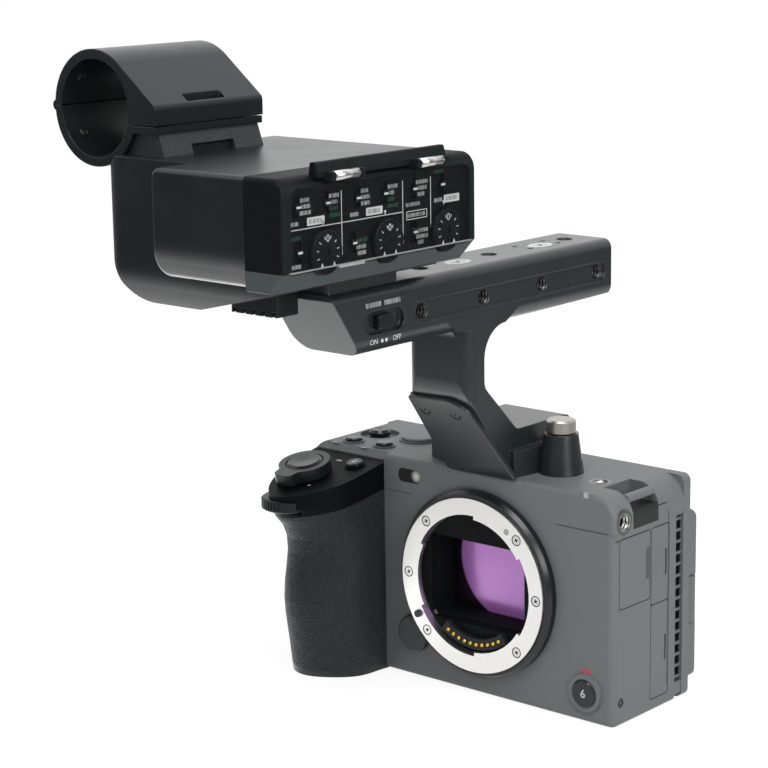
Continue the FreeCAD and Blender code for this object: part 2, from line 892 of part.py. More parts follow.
def socket_windows(gap):
    """Outlines of the sockets behind the three doors, seen along X."""
    middle = (s.audio_door_front + s.audio_door_rear) / 2
    rear = (s.rear_door_front + s.rear_door_rear) / 2
    return [
        Disc(middle, s.audio_door_top - 6.5, 3.2 + gap),
        Disc(middle, s.audio_door_base + 6.5, 3.2 + gap),
        box(rear - 2.9 - gap, rear + 2.9 + gap,
            s.rear_door_split + 5.5 - gap, s.rear_door_split + 20.5 + gap, 0.8),
        box(rear - 1.8 - gap, rear + 1.8 + gap,
            s.rear_door_base + 5.5 - gap, s.rear_door_base + 14.8 + gap, 0.8),
    ]


def main_board():
    """The main circuit board, with the sockets that it carries to the side wall."""
    board = Piece("main_board")
    back = s.board_front + s.board_thick
    edge = s.case_right - s.side_wall
    board.pad("XZ", s.board_front, back,
              box(s.board_left, edge - 0.5, s.board_base, s.board_top, 2))
    board.pad("YZ", edge - s.socket_deep, s.case_right - s.door_thick - s.move_gap - 0.3,
              *socket_windows(0)[2:])
    board.pad("YZ", edge - s.socket_deep, edge - 1,
              box(s.board_front, s.rear_door_rear - 3.5, s.rear_door_base + 6, s.rear_door_base + 14))
    board.pad("XZ", s.board_front - 2.2, s.board_front,
              box(-14, 8, s.mount_height - 11, s.mount_height + 11, 1.5))
    tip = s.case_right - s.door_thick - s.move_gap - 0.3
    jacks = socket_windows(0)[:2]
    board.pad("YZ", edge - 4, edge - 0.2,
              box(s.audio_door_front + 3, back, s.audio_door_base + 2, s.audio_door_top - 2))
    board.pad("YZ", edge - 0.2, tip, *jacks)
    board.pocket("YZ", tip - 4.5, tip, *[Disc(jack.x, jack.y, 1.8) for jack in jacks])
    keep(board)


def terminal_door(name, front, rear, base, top):
    """A flap that fills its bay, hinged on its front edge, with a finger notch at its rear."""
    door = Piece(name)
    face = s.case_right
    door.pad("YZ", face - s.door_thick, face, box(front, rear, base, top, 0.8))
    middle = (base + top) / 2
    door.pocket("YZ", face - 0.7, face, box(rear - 2.2, rear - 1.0, middle - 4.5, middle + 4.5, 0.55))
    keep(door)


def terminal_doors():
    split = s.move_gap / 2
    terminal_door("audio_door", s.audio_door_front, s.audio_door_rear, s.audio_door_base, s.audio_door_top)
    front, rear = s.rear_door_front, s.rear_door_rear
    terminal_door("hdmi_door", front, rear, s.rear_door_split + split, s.rear_door_top)
    terminal_door("usb_door", front, rear, s.rear_door_base, s.rear_door_split - split)


def top_cover():
    cover = Piece("top_cover")
    top, front, rear = s.case_top, s.case_front, s.rear_wall_front
    left_front = s.grip_top_split_y
    cover.pad("XZ", front, rear, [
        (s.grip_joint_x, s.seam_top), (s.case_right, s.seam_top),
        (s.case_right, top, s.shoulder_round), (s.grip_joint_x, top)])
    cover.fillet(s.top_edge_round, runs_along((1, 0, 0), y=about(front), z=about(top)))
    cover.pad("XZ", left_front, rear, [
        (s.case_left, s.seam_top), (s.grip_joint_x + 1, s.seam_top),
        (s.grip_joint_x + 1, top), (s.case_left, top, s.left_shoulder_round)])
    step = s.top_front_step
    cover.pocket("YZ", s.case_left, s.grip_joint_x, [
        (left_front - 1, top - step), (left_front, top - step), (left_front + step, top),
        (left_front + step, top + 1), (left_front - 1, top + 1)])
    cover.pocket("XY", s.seam_top, top - s.wall, [
        (s.case_left + s.wall, left_front + 1.8), (s.grip_joint_x + 3, left_front + 1.8),
        (s.grip_joint_x + 3, front + s.wall), (s.strap_left - 2, front + s.wall),
        (s.strap_left - 2, rear - s.wall), (s.case_left + s.wall, rear - s.wall)])
    ledge = top - 6.0
    for x, y in ((s.left_button_x, s.left_button_y), (s.right_button_x, s.right_button_y)):
        cover.pad("XY", top, top + 0.6, Disc(x, y, s.small_button_ring))
        cover.pocket("XY", ledge, top + 0.6, Disc(x, y, s.small_button_radius + s.fit_gap))
    cover.pad("XY", top, top + 0.5, Disc(s.record_x, s.record_y, s.record_ring))
    cover.pocket("XY", ledge, top + 0.5, Disc(s.record_x, s.record_y, s.record_radius + s.fit_gap))
    cover.pad("XY", top - 6.5, top - 1.5, Disc(s.stick_x, s.stick_y, s.stick_well + 1.4))
    cover.pocket("XY", top - s.stick_well_deep, top, Disc(s.stick_x, s.stick_y, s.stick_well))
    cover.pocket("XY", top - 5.4, top, Disc(s.stick_x, s.stick_y, s.stick_cap + 0.4))
    cover.pocket("XZ", front, front + s.wall,
                 box(s.tally_x - s.tally_wide / 2, s.tally_x + s.tally_wide / 2,
                     s.tally_z - s.tally_tall / 2, s.tally_z + s.tally_tall / 2, 2.0))
    cover.pocket("XY", top - s.insert_deep, top, Disc(s.top_thread_x, s.top_thread_y, s.insert_radius + 0.02))
    cover.pocket("YZ", s.case_right - s.insert_deep, s.case_right,
                 Disc(s.side_thread_y, s.side_thread_z, s.insert_radius + 0.02))
    cover.pocket("XZ", s.strap_front, s.strap_rear,
                 [(s.strap_left, s.strap_floor, 1.5), (s.case_right + 1, s.strap_floor),
                  (s.case_right + 1, top + 1), (s.strap_left, top + 1)])
    bar_base = top - s.strap_bar_drop
    cover.pad("XZ", s.strap_front, s.strap_rear,
              box(s.strap_bar_x, s.strap_bar_x + s.strap_bar_wide, bar_base, bar_base + s.strap_bar_tall, 1.1))
    keep(cover)


def tally_window():
    window = Piece("tally_window")
    front = s.case_front
    gap = 0.05
    window.pad("XZ", front + 0.25, front + s.wall - 0.2,
               box(s.tally_x - s.tally_wide / 2 + gap, s.tally_x + s.tally_wide / 2 - gap,
                   s.tally_z - s.tally_tall / 2 + gap, s.tally_z + s.tally_tall / 2 - gap, 1.9))
    keep(window)


def rear_cover():
    """The back of the casing, with the ribbed air slot, the thumb rest and the rear controls' seats."""
    cover = Piece("rear_cover")
    front, back = s.rear_wall_front, s.case_rear
    cover.pad("XZ", front, back, box(s.case_left, s.case_right, 0, s.case_top, 2.5))
    cover.pad("XZ", back, back + s.thumb_rest_deep,
              [(s.case_left, 2.0, 3), (s.monitor_left - 1.6, 2.0, 2),
               (s.monitor_left - 1.6, s.case_top - 6, 3), (s.case_left, s.case_top - 6, 5)])
    cover.fillet(1.8, lambda e: e.BoundBox.YMin > back.value + s.thumb_rest_deep.value - 0.01)
    cover.pocket("XY", 0, s.case_top, [
        (s.case_left + s.wall, front), (s.case_right - s.side_wall, front),
        (s.case_right - s.side_wall, front + 1.4), (s.case_left + s.wall, front + 1.4)])
    cover.pad("XY", 0, s.wall, box(s.case_left + s.wall, s.case_right - s.side_wall, front, front + 1.4))
    cover.pad("XY", s.case_top - s.wall, s.case_top,
              box(s.case_left + s.wall, s.case_right - s.side_wall, front, front + 1.4))
    rib_right = s.case_right - s.vent_rib_inset
    rib = cover.pad("XY", s.vent_base, s.vent_base + s.vent_rib_thick,
                    box(rib_right - s.vent_rib_deep, rib_right, s.side_wall_rear + 0.1, front))
    cover.row_of(rib, "Z_Axis", s.vent_pitch * (s.vent_ribs - 1), s.vent_ribs.value)
    top_fill = s.vent_base + s.vent_pitch * (s.vent_ribs - 1) + s.vent_rib_thick + 1.0
    cover.pad("XY", top_fill, s.seam_top, box(s.case_right - s.side_wall, s.case_right - 0.3,
                                              s.side_wall_rear + 0.1, front))
    cover.pad("XY", 2.0, s.vent_base - 1.2, box(s.case_right - s.side_wall, s.case_right - 0.3,
                                                s.side_wall_rear + 0.1, front))
    back_face = back + s.thumb_rest_deep
    cover.pocket("XZ", back_face - s.wheel_thick, back_face, Disc(s.wheel_x, s.wheel_z, s.wheel_radius + 0.4))
    cover.pad("XZ", back_face - s.wheel_thick, back_face + 0.2,
              Disc(s.wheel_x, s.wheel_z, s.wheel_hole - 0.06))
    seats = [Disc(x, z, s.rear_button_radius + 0.15) for x, z in rear_button_places()]
    cover.pocket("XZ", back_face - 1.6, back_face, *seats)
    monitor_hinge(cover)
    keep(cover)


def rear_button_places():
    """The rear buttons stand in pairs above and below the control wheel."""
    near = s.wheel_x + 15.5
    far = s.wheel_x - 13.5
    return [(near, s.wheel_z + 24), (near, s.wheel_z + 12.5), (near, s.wheel_z - 12.5),
            (s.wheel_x, s.wheel_z - 17.5), (far, s.wheel_z - 17.5), (s.wheel_x, s.wheel_z + 24)]


def rear_controls():
    back_face = s.case_rear + s.thumb_rest_deep
    buttons = Piece("rear_buttons")
    discs = [Disc(x, z, s.rear_button_radius) for x, z in rear_button_places()]
    buttons.pad("XZ", back_face - 1.6, back_face + 0.7, *discs)
    buttons.chamfer(0.3, lambda e: e.BoundBox.YMin > back_face.value + 0.69)
    keep(buttons)
    wheel = turned("rear_wheel", [
        (s.wheel_hole, 0), (s.wheel_radius, 0), (s.wheel_radius, 1.2), (s.wheel_radius - 0.9, 2.1),
        (s.wheel_hole + 1.1, 1.5), (s.wheel_hole, 1.1)])
    keep(wheel.place(s.wheel_x, back_face - s.wheel_thick + 0.35, s.wheel_z, *FACING_REAR))


def bottom_plate():
    plate = Piece("bottom_plate")
    gap = s.fit_gap
    plate.pad("XY", 0, s.base_plate_thick, box(
        s.grip_joint_x + gap, s.case_right - s.side_wall - gap,
        s.case_front + s.wall + gap, s.rear_wall_front - gap, 1.5))
    plate.pad("XY", s.base_plate_thick, s.tripod_depth + 1.5, Disc(0, 0, s.insert_radius + 2.2))
    plate.pocket("XY", 0, s.tripod_depth, Disc(0, 0, s.insert_radius + 0.02))
    plate.pad("XY", s.base_plate_thick, s.board_base - 0.3,
              box(-30, 34, s.board_front, s.board_front + s.board_thick))
    keep(plate)

def screw_places():
    """Mount screws seen from the front, as x and z."""
    places = [radial(s.mount_screw_circle, a) for a in SCREW_ANGLES]
    return [(x, z + s.mount_height) for x, z in places]


# Groups of like fasteners, each made of bound cylinders

def rod(name, radius, length, x, y, z, axis=(0, 0, 1), angle=0):
    """A cylinder that runs from its place along its own Z axis."""
    feature = doc.addObject("Part::Cylinder", name)
    bind(feature, "Radius", radius)
    bind(feature, "Height", length)
    spot = FreeCAD.Vector(number(x), number(y), number(z))
    feature.Placement = FreeCAD.Placement(spot, FreeCAD.Rotation(FreeCAD.Vector(*axis), angle))
    for path, place in zip("xyz", (x, y, z)):
        bind(feature, f".Placement.Base.{path}", place)
    return feature


def fused(name, parts):
    feature = doc.addObject("Part::MultiFuse", name)
    feature.Label = name
    feature.Shapes = parts
    return feature


def drilled(name, base, tool):
    feature = doc.addObject("Part::Cut", name)
    feature.Base = base
    feature.Tool = tool
    return feature


def screws():
    parts = []
    deep = s.mount_screw_head_thick
    face = -s.flange_depth
    for x, z in screw_places():
        parts.append(rod("mount_screw_head", s.mount_screw_head, deep - 0.05,
                         x, face + deep, z, *FACING_FRONT))
        parts.append(rod("mount_screw_shank", s.mount_screw_shank, s.mount_screw_long,
                         x, face + deep + s.mount_screw_long, z, *FACING_FRONT))
    parts.append(rod("side_screw", s.side_screw_head, s.side_screw_deep - 0.1,
                     s.case_right - s.side_screw_deep, s.side_screw_y, s.side_screw_z, *FACING_RIGHT))
    keep(fused("screws", parts))


def thread_inserts():
    """Threaded bushes for the tripod, the top and the right side."""
    places = [
        ("tripod", s.tripod_depth, 0, 0, 0, (0, 0, 1), 0),
        ("top", s.insert_deep, s.top_thread_x, s.top_thread_y, s.case_top - s.insert_deep, (0, 0, 1), 0),
        ("side", s.insert_deep, s.case_right - s.insert_deep, s.side_thread_y, s.side_thread_z,
         *FACING_RIGHT)]
    parts = []
    for name, length, x, y, z, axis, angle in places:
        bush = rod(f"{name}_bush", s.insert_radius, length, x, y, z, axis, angle)
        bore = rod(f"{name}_bore", s.thread_bore, length, x, y, z, axis, angle)
        parts.append(drilled(f"{name}_insert", bush, bore))
    keep(fused("thread_inserts", parts))


# Grip, lofted through sections that follow the fingers

GRIP_SECTIONS = 16


def grip_section(height, depth, inset, beyond):
    """Outline of the grip at one height, drawn in by an inset and carried beyond the joint and the rear."""
    height, depth, inset = number(height), number(depth), number(inset)
    right, left = s.grip_joint_x.value, s.case_left.value
    front, rear = s.case_front.value, s.rear_wall_front.value
    nose = [
        (right - inset, front + inset),
        (right - 2.0 - inset, front - 0.53 * depth + 0.2 * inset),
        (right - 8.5 - 0.6 * inset, front - 0.83 * depth + 0.8 * inset),
        (right - 18.0, front - depth + inset),
        (left + 5.5 + 0.6 * inset, front - 0.80 * depth + 0.8 * inset),
        (left + 0.6 + inset, front - 0.40 * depth + 0.2 * inset),
        (left + inset, front + 8.5)]
    points = [FreeCAD.Vector(x, y, height) for x, y in nose]
    curve = Part.BSplineCurve()
    curve.interpolate(Points=points, InitialTangent=FreeCAD.Vector(-0.2, -1, 0),
                      FinalTangent=FreeCAD.Vector(0, 1, 0))
    back = [points[-1], FreeCAD.Vector(left + inset, rear + beyond, height),
            FreeCAD.Vector(right + beyond, rear + beyond, height)]
    if beyond:
        back.append(FreeCAD.Vector(right + beyond, front + inset, height))
    back.append(points[0])
    lines = [Part.makeLine(a, b) for a, b in zip(back, back[1:])]
    return Part.Wire([curve.toShape(), *lines])


def grip_column(inset, beyond):
    """The grip's full height, through sections taken along the smooth curve of its nose."""
    levels = [(-beyond, s.nose_base), (s.heel_height, s.nose_heel), (s.palm_height, s.nose_palm),
              (s.neck_height, s.nose_neck), (s.step_height, s.nose_step), (s.hood_height, s.nose_hood),
              (s.head_height, s.nose_head), (s.case_top + 2 + beyond, s.nose_head)]
    nose = Part.BSplineCurve()
    nose.interpolate([FreeCAD.Vector(number(depth), 0, number(height)) for height, depth in levels])
    sections = [grip_section(point.z, point.x, inset, beyond) for point in nose.discretize(GRIP_SECTIONS)]
    return Part.makeLoft(sections, True, True)


def skin_top_z(y):
    """Height of the seam between the ribbed skin and the smooth top of the grip."""
    slope = (s.skin_top_rear - s.skin_top_front) / s.skin_top_run
    return s.skin_top_rear + (y - s.case_front) * slope


def grip_slope():
    return (s.grip_top_rear - s.grip_top_front) / s.grip_top_run


def grip_top_z(y):
    """Height of the sloping top of the grip."""
    return s.grip_top_rear + (y - s.grip_top_split_y) * grip_slope()


def side_prism(corners, low_x, high_x):
    """A block with the given (y, z) corners, from low_x to high_x."""
    points = [FreeCAD.Vector(number(low_x), number(y), number(z)) for y, z in corners]
    face = Part.Face(Part.makePolygon([*points, points[0]]))
    return face.extrude(FreeCAD.Vector(number(high_x) - number(low_x), 0, 0))


def dial_room():
    """The hollow for the front dial, open through the front of the grip."""
    gap = s.move_gap
    base = s.dial_height - s.dial_thick / 2 - gap
    tall = s.dial_thick + gap * 2
    room = rod_shape((s.dial_x, s.dial_y, base), (0, 0, 1), s.dial_radius + gap, tall)
    half = s.dial_slot_wide / 2
    mouth = box_shape((s.dial_x - half, s.case_front - s.nose_head - 3, base),
                      (s.dial_x + half, s.dial_y, base + tall))
    return room.fuse(mouth)


def battery_room():
    gap = s.move_gap
    left, front = s.battery_left - gap, s.battery_front - gap
    base = s.battery_door_thick + gap
    return box_shape((left, front, -1), (s.battery_left + s.battery_thick + gap,
                                         s.battery_front + s.battery_deep + gap,
                                         base + s.battery_tall + gap))


def battery_door_edges():
    """Left, right, front and rear edges of the battery door."""
    margin = s.battery_door_margin
    return (s.battery_left - margin, s.battery_left + s.battery_thick + margin,
            s.battery_front - margin, s.battery_front + s.battery_deep + margin)


def grip():
    far_left, far_right = s.case_left - 5, s.grip_joint_x + 5
    far_front = s.case_front - s.nose_head - 10
    split = s.grip_top_split_y
    outer = grip_column(0, 0)
    inner = grip_column(s.grip_skin_thick, 2.0)
    lower = side_prism([
        (far_front, -1), (s.rear_wall_front + 1, -1), (s.rear_wall_front + 1, s.seam_top),
        (split, s.seam_top), (split, skin_top_z(split)), (far_front, skin_top_z(far_front))],
        far_left, far_right)
    upper = side_prism([
        (far_front, skin_top_z(far_front)), (split, skin_top_z(split)),
        (split, grip_top_z(split)), (far_front, grip_top_z(far_front))], far_left, far_right)
    skin_room = box_shape((far_left, far_front, s.grip_skin_base), (far_right, s.grip_skin_rear, s.case_top))
    hollow = dial_room()
    column = outer.common(lower)
    skin = column.common(skin_room).cut(inner)
    gap = s.move_gap
    left, right, front, rear = battery_door_edges()
    doorway = box_shape((left - gap, front - gap, -1), (right + gap, rear + gap, s.battery_door_thick + gap))
    pin = s.battery_door_pin
    pin_hole = rod_shape((left + s.battery_door_thick / 2, front - gap - 1.3, s.battery_door_thick / 2),
                         (0, 1, 0), pin + 0.05, rear - front + gap * 2 + 2.6)
    body = column.cut(skin)
    for tool in (hollow, battery_room(), doorway, pin_hole):
        body = body.cut(tool)
    keep(shaped("grip_body", body))
    keep(shaped("grip_skin", skin.cut(hollow)))
    keep(shaped("grip_top", grip_top(outer.common(upper).cut(hollow))))


def slope_normal():
    slope = grip_slope().value
    return FreeCAD.Vector(0, -slope, 1).normalize()


def slope_spot(x, y, up=0):
    """A point over the sloping top of the grip, at a height measured square to it."""
    base = FreeCAD.Vector(number(x), number(y), grip_top_z(y).value)
    return base + slope_normal() * number(up)


def grip_top(block):
    """Drill the sloping top for its controls and set the dial's shaft."""
    normal = slope_normal()
    ring = Part.makeCylinder(s.grip_button_radius.value + 0.8, 1.0,
                             slope_spot(s.grip_button_x, s.grip_button_y, -0.5), normal)
    block = block.fuse(ring)
    shaft = rod_shape((s.dial_x, s.dial_y, s.dial_height - s.dial_thick / 2 - s.move_gap), (0, 0, 1),
                      s.dial_shaft, s.dial_thick + s.move_gap * 2)
    block = block.fuse(shaft)
    deep = s.shutter_stem_deep.value + s.shutter_travel.value + 0.5
    stem = Part.makeCylinder(s.shutter_stem.value + 0.15, deep + 1,
                             slope_spot(s.shutter_x, s.shutter_y, -deep), normal)
    button = Part.makeCylinder(s.grip_button_radius.value + 0.15, 5,
                               slope_spot(s.grip_button_x, s.grip_button_y, -3.6), normal)
    return block.cut(stem).cut(button)


def on_slope(piece, x, y):
    """Stand a piece on the sloping top of the grip."""
    tilt = math.degrees(math.atan(grip_slope().value))
    return piece.place(x, y, grip_top_z(y), (1, 0, 0), tilt)


def grip_controls():
    top, cap = s.shutter_proud, s.shutter_cap_thick
    shutter = turned("shutter_button", [
        (0, -s.shutter_stem_deep), (s.shutter_stem, -s.shutter_stem_deep), (s.shutter_stem, top - cap),
        (s.shutter_radius, top - cap), (s.shutter_radius, top - 0.8), (s.shutter_radius - 0.8, top),
        (0, top - 0.5)])
    keep(on_slope(shutter, s.shutter_x, s.shutter_y))

    lever = Piece("zoom_lever")
    half = s.zoom_lobe_half
    gap = s.move_gap
    lever.pad("XY", gap, s.zoom_ring_tall, Disc(0, 0, s.zoom_ring_radius))
    lever.pad("XY", gap, s.zoom_ring_tall, [
        (-half, -s.zoom_lobe_reach, 2.4), (half, -s.zoom_lobe_reach, 2.4),
        (half + 1.5, -4), (-half - 1.5, -4)])
    lever.pocket("XY", gap, s.zoom_ring_tall, Disc(0, 0, s.shutter_radius + gap))
    keep(on_slope(lever, s.shutter_x, s.shutter_y))

    radius, proud = s.grip_button_radius, s.grip_button_proud
    button = turned("grip_button", [
        (0, -2.4), (radius, -2.4), (radius, proud - 0.4), (radius - 0.4, proud), (0, proud)])
    keep(on_slope(button, s.grip_button_x, s.grip_button_y))

    thick = s.dial_thick
    dial = turned("front_dial", [
        (s.dial_shaft + 0.05, 0), (s.dial_radius - 0.5, 0), (s.dial_radius, 0.5),
        (s.dial_radius, thick - 0.5), (s.dial_radius - 0.5, thick), (s.dial_shaft + 0.05, thick)])
    keep(dial.place(s.dial_x, s.dial_y, s.dial_height - thick / 2))


def held_button(name, radius, proud):
    """A round button with the flange that keeps it under the wall, its origin on the wall's face."""
    flange = radius + 0.9
    under = -s.wall - 0.3
    return turned(name, [
        (0, under - 1.1), (flange, under - 1.1), (flange, under), (radius, under), (radius, proud - 0.4),
        (radius - 0.4, proud), (0, proud)])


def casing_controls():
    top = s.case_top
    small, proud = s.small_button_radius, s.small_button_proud
    keep(held_button("left_button", small, proud).place(s.left_button_x, s.left_button_y, top))
    keep(held_button("right_button", small, proud).place(s.right_button_x, s.right_button_y, top))
    keep(held_button("record_button", s.record_radius, s.record_proud).place(s.record_x, s.record_y, top))
    front = held_button("front_record_button", s.front_record_radius, s.front_record_proud)
    keep(front.place(s.front_record_x, s.case_front, s.front_record_z, *FACING_FRONT))
    stick = turned("control_stick", [
        (0, 0), (1.5, 0), (1.5, s.stick_root - 0.3), (s.stick_cap, s.stick_root - 0.3),
        (s.stick_cap, s.stick_root + 0.8), (s.stick_cap - 0.8, s.stick_root + 1.8),
        (0, s.stick_root + 1.4)])
    keep(stick.place(s.stick_x, s.stick_y, top - s.stick_root))


# Battery and its door

def battery():
    pack = Piece("battery")
    left, front = s.battery_left, s.battery_front
    base = s.battery_door_thick + s.move_gap
    pack.pad("XY", base, base + s.battery_tall,
             box(left, left + s.battery_thick, front, front + s.battery_deep, 1.6))
    keep(pack)


def battery_door():
    """The door under the battery, hinged on two short pins along its outer edge."""
    door = Piece("battery_door")
    left, right, front, rear = battery_door_edges()
    thick = s.battery_door_thick
    door.pad("XY", 0, thick, [(left, front), (right, front, 2.5), (right, rear, 2.5), (left, rear)])
    door.fillet(thick / 2 - 0.02, runs_along((0, 1, 0), x=about(left)))
    middle = thick / 2
    door.pad("XZ", front - 1.2, front + 1, Disc(left + middle, middle, s.battery_door_pin))
    door.pad("XZ", rear - 1, rear + 1.2, Disc(left + middle, middle, s.battery_door_pin))
    door.pocket("XY", 0, 0.6, box(right - 6, right - 3, front + 12, rear - 12, 1.2))
    keep(door)


# Cooling

def fan_housing():
    """The blower's frame with the fins that its air passes on the way to the slot."""
    frame = Piece("fan_housing")
    front, back = s.fan_frame_front, s.fan_frame_front + s.fan_frame_thick
    half = s.fan_frame_half
    x, z = s.fan_x, s.fan_height
    fin_right = s.case_right - s.side_wall - s.socket_deep - s.move_gap
    frame.pad("XZ", front, back, box(x - half, x + half, z - half, z + half, 3))
    frame.pocket("XZ", front + 1.2, back, Disc(x, z, s.fan_radius + 0.6))
    frame.pocket("XZ", front + 1.2, back, box(x + 8, x + half, z - 4, z + s.fan_radius - 1))
    frame.pad("XZ", front + 1, back - 2.4, Disc(x, z, s.fan_shaft))
    frame.pad("XZ", front, front + 1.2, box(x + half - 2, fin_right, z - half, z + half))
    fin = frame.pad("XY", z - half, z - half + 0.8, box(x + half + 0.5, fin_right, front + 1, back))
    frame.row_of(fin, "Z_Axis", half * 2 - 0.8, s.fan_fins.value)
    keep(frame)


def fan_rotor():
    rotor = turned("fan_rotor", [
        (s.fan_shaft + 0.05, 0), (s.fan_hub, 0), (s.fan_hub, 3.8), (s.fan_hub - 0.6, 4.4), (0, 4.4),
        (0, 3.9), (s.fan_shaft + 0.05, 3.9)])
    blade = rotor.pad("XY", 0, 4.0, [
        (s.fan_hub - 0.6, -0.4), (s.fan_radius - 0.4, 1.6),
        (s.fan_radius - 0.5, 2.4), (s.fan_hub - 0.7, 0.5)])
    rotor.ring_of(blade, s.fan_blades.value)
    keep(rotor.place(s.fan_x, s.fan_frame_front + 1.6, s.fan_height, *FACING_REAR))


# Monitor

def hinge_line():
    """The monitor's upright hinge axis, as x and y."""
    right = s.case_right - s.monitor_side_inset
    return right - s.hinge_inset, s.case_rear + s.monitor_gap + s.monitor_thick / 2


def monitor():
    panel = Piece("monitor")
    front = s.case_rear + s.monitor_gap
    back = front + s.monitor_thick
    right = s.case_right - s.monitor_side_inset
    x, y = hinge_line()
    panel.pad("XZ", front, back, box(s.monitor_left, right, s.monitor_base, s.monitor_top, 2.5))
    panel.fillet(0.8, lambda e: e.BoundBox.YMin > back.value - 0.01)
    panel.pocket("XZ", back - 0.35, back,
                 box(s.monitor_left + 3.2, right - 5.2, s.monitor_base + 4.4, s.monitor_top - 4.4, 0.8))
    panel.pocket("XZ", front, back, box(x - s.hinge_barrel - 0.5, right, s.hinge_base, s.hinge_top))
    panel.pad("XY", s.hinge_base - 1, s.hinge_top + 1, Disc(x, y, s.hinge_pin))
    keep(panel)


def monitor_hinge(cover):
    """Add the barrel that the monitor turns on to the rear cover."""
    x, y = hinge_line()
    low, high = s.hinge_base + s.move_gap, s.hinge_top - s.move_gap
    radius = s.hinge_barrel
    cover.pad("XY", low, high, Disc(x, y, radius))
    cover.pad("XY", low, high, box(x - radius, x + radius - 0.6, s.case_rear - 1, y))
    cover.pocket("XY", low, high, Disc(x, y, s.hinge_pin + 0.05))


# Handle

def foot_slope():
    """Rise and run of the leaning front of the foot, from its lower front edge."""
    run = s.foot_plate_lean
    rise = s.foot_plate_top - s.case_top
    return run, rise


def handle_body():
    handle = Piece("handle_body")
    left, right = s.bar_left, s.bar_right
    base, top, rear = s.bar_base, s.bar_top, s.bar_rear
    handle.pad("XZ", s.bar_front_top, rear, [
        (left, base, s.bar_base_round), (right, base, s.bar_low_edge_round),
        (right, top, s.bar_high_edge_round), (left, top, s.bar_top_round)])
    handle.pocket("YZ", left, right, [
        (s.bar_front_top - 1, base - 1), (s.bar_front_base, base - 1), (s.bar_front_base, base),
        (s.bar_front_top, top - 2), (s.bar_front_top - 1, top - 2)])
    handle.pocket("YZ", left, right, [
        (s.stem_rear + 5, base), (rear + 1, s.bar_base_rear),
        (rear + 1, base - 1), (s.stem_rear + 5, base - 1)])
    run, rise = foot_slope()
    seat = s.foot_cover_thick * math.hypot(run.value, rise.value) / rise.value
    toe = s.foot_front + seat
    steep = rise.value / run.value
    stem_foot = s.case_top + (toe - s.stem_front) * steep
    foot_top, stem_rear = s.foot_top, s.stem_rear
    throat, lip = s.stem_throat_round, s.stem_front_round
    root, blend = base + 0.3, base + s.bar_low_edge_round
    handle.pad("YZ", left, right, [
        (s.stem_front - lip - s.stem_run_out, blend), (s.stem_front - lip - 0.1, root),
        (s.stem_front, root, lip), (s.stem_front, stem_foot, s.stem_scoop_round), (toe, s.case_top),
        (s.foot_rear, s.case_top), (s.foot_rear, foot_top, 3),
        (stem_rear + (s.stem_bend - foot_top), foot_top, 4), (stem_rear, s.stem_bend, 5),
        (stem_rear, root, throat), (stem_rear + throat + 0.1, root),
        (stem_rear + throat + s.stem_run_out, blend)])
    front, corner = s.stem_front, s.stem_corner_round
    handle.pocket("XY", s.foot_plate_top + 1, base, *[
        [(side + 1 * out, front - 1), (side + 1 * out, front + corner + 1), (side, front + corner + 1),
         (side, front, corner), (side - (corner + 1) * out, front), (side - (corner + 1) * out, front - 1)]
        for side, out in ((left, -1), (right, 1))])
    wing_top = s.case_top + s.foot_wing_tall
    handle.pad("XY", s.case_top, wing_top, [
        (s.foot_left, s.foot_wing_front, 3), (left + 1.9, toe + 0.3), (right + 2, toe + 0.3),
        (right + 3.5, -2.5), (right + 3.5, s.foot_wing_rear), (right, s.foot_rear),
        (left, s.foot_rear), (s.foot_left, s.foot_wing_rear, 3)])
    boss = handle.pad("XY", s.case_top, s.boss_top, Disc(s.boss_x, s.boss_y, s.boss_base_radius))
    lean = math.atan2((s.boss_base_radius - s.boss_top_radius).value, (s.boss_top - s.case_top).value)
    boss.TaperAngle = -math.degrees(lean)
    handle.pocket("XY", s.case_top + 1, s.boss_top, Disc(s.boss_x, s.boss_y, s.knob_shank + 0.06))
    handle.pad("XY", top - 1, s.box_floor, box(
        left + s.block_inset, right - s.block_inset, s.bar_front_top + 0.5, s.block_rear, 1.5))
    deep = right - s.handle_hole_deep
    groove = s.groove_height
    handle.pocket("YZ", right - s.groove_deep, right,
                  box(s.groove_front, s.groove_rear, groove - s.groove_half, groove + s.groove_half, 3.2))
    sides = [Disc(s.side_hole_first - s.side_hole_pitch * i, groove, s.thread_bore) for i in range(4)]
    handle.pocket("YZ", deep, right, *sides)
    tops = [Disc(s.handle_top_hole_x, y, s.thread_bore) for y in
            (s.handle_top_hole_front, s.handle_top_hole_middle, s.handle_top_hole_rear)]
    handle.pocket("XY", top - s.handle_hole_deep, top, *tops)
    small = [Disc(s.handle_top_hole_x + dx * s.shoe_screw_half_x, s.shoe_screw_y + dy * s.shoe_screw_half_y,
                  s.shoe_screw_radius) for dx in (-1, 1) for dy in (-1, 1)]
    handle.pocket("XY", top - 4, top, *small)
    half, tall = s.switch_slot_half, s.switch_slot_tall / 2
    handle.pocket("YZ", right - s.switch_deep, right,
                  box(s.switch_y - half, s.switch_y + half, s.switch_z - tall, s.switch_z + tall, 3.4))
    keep(handle)


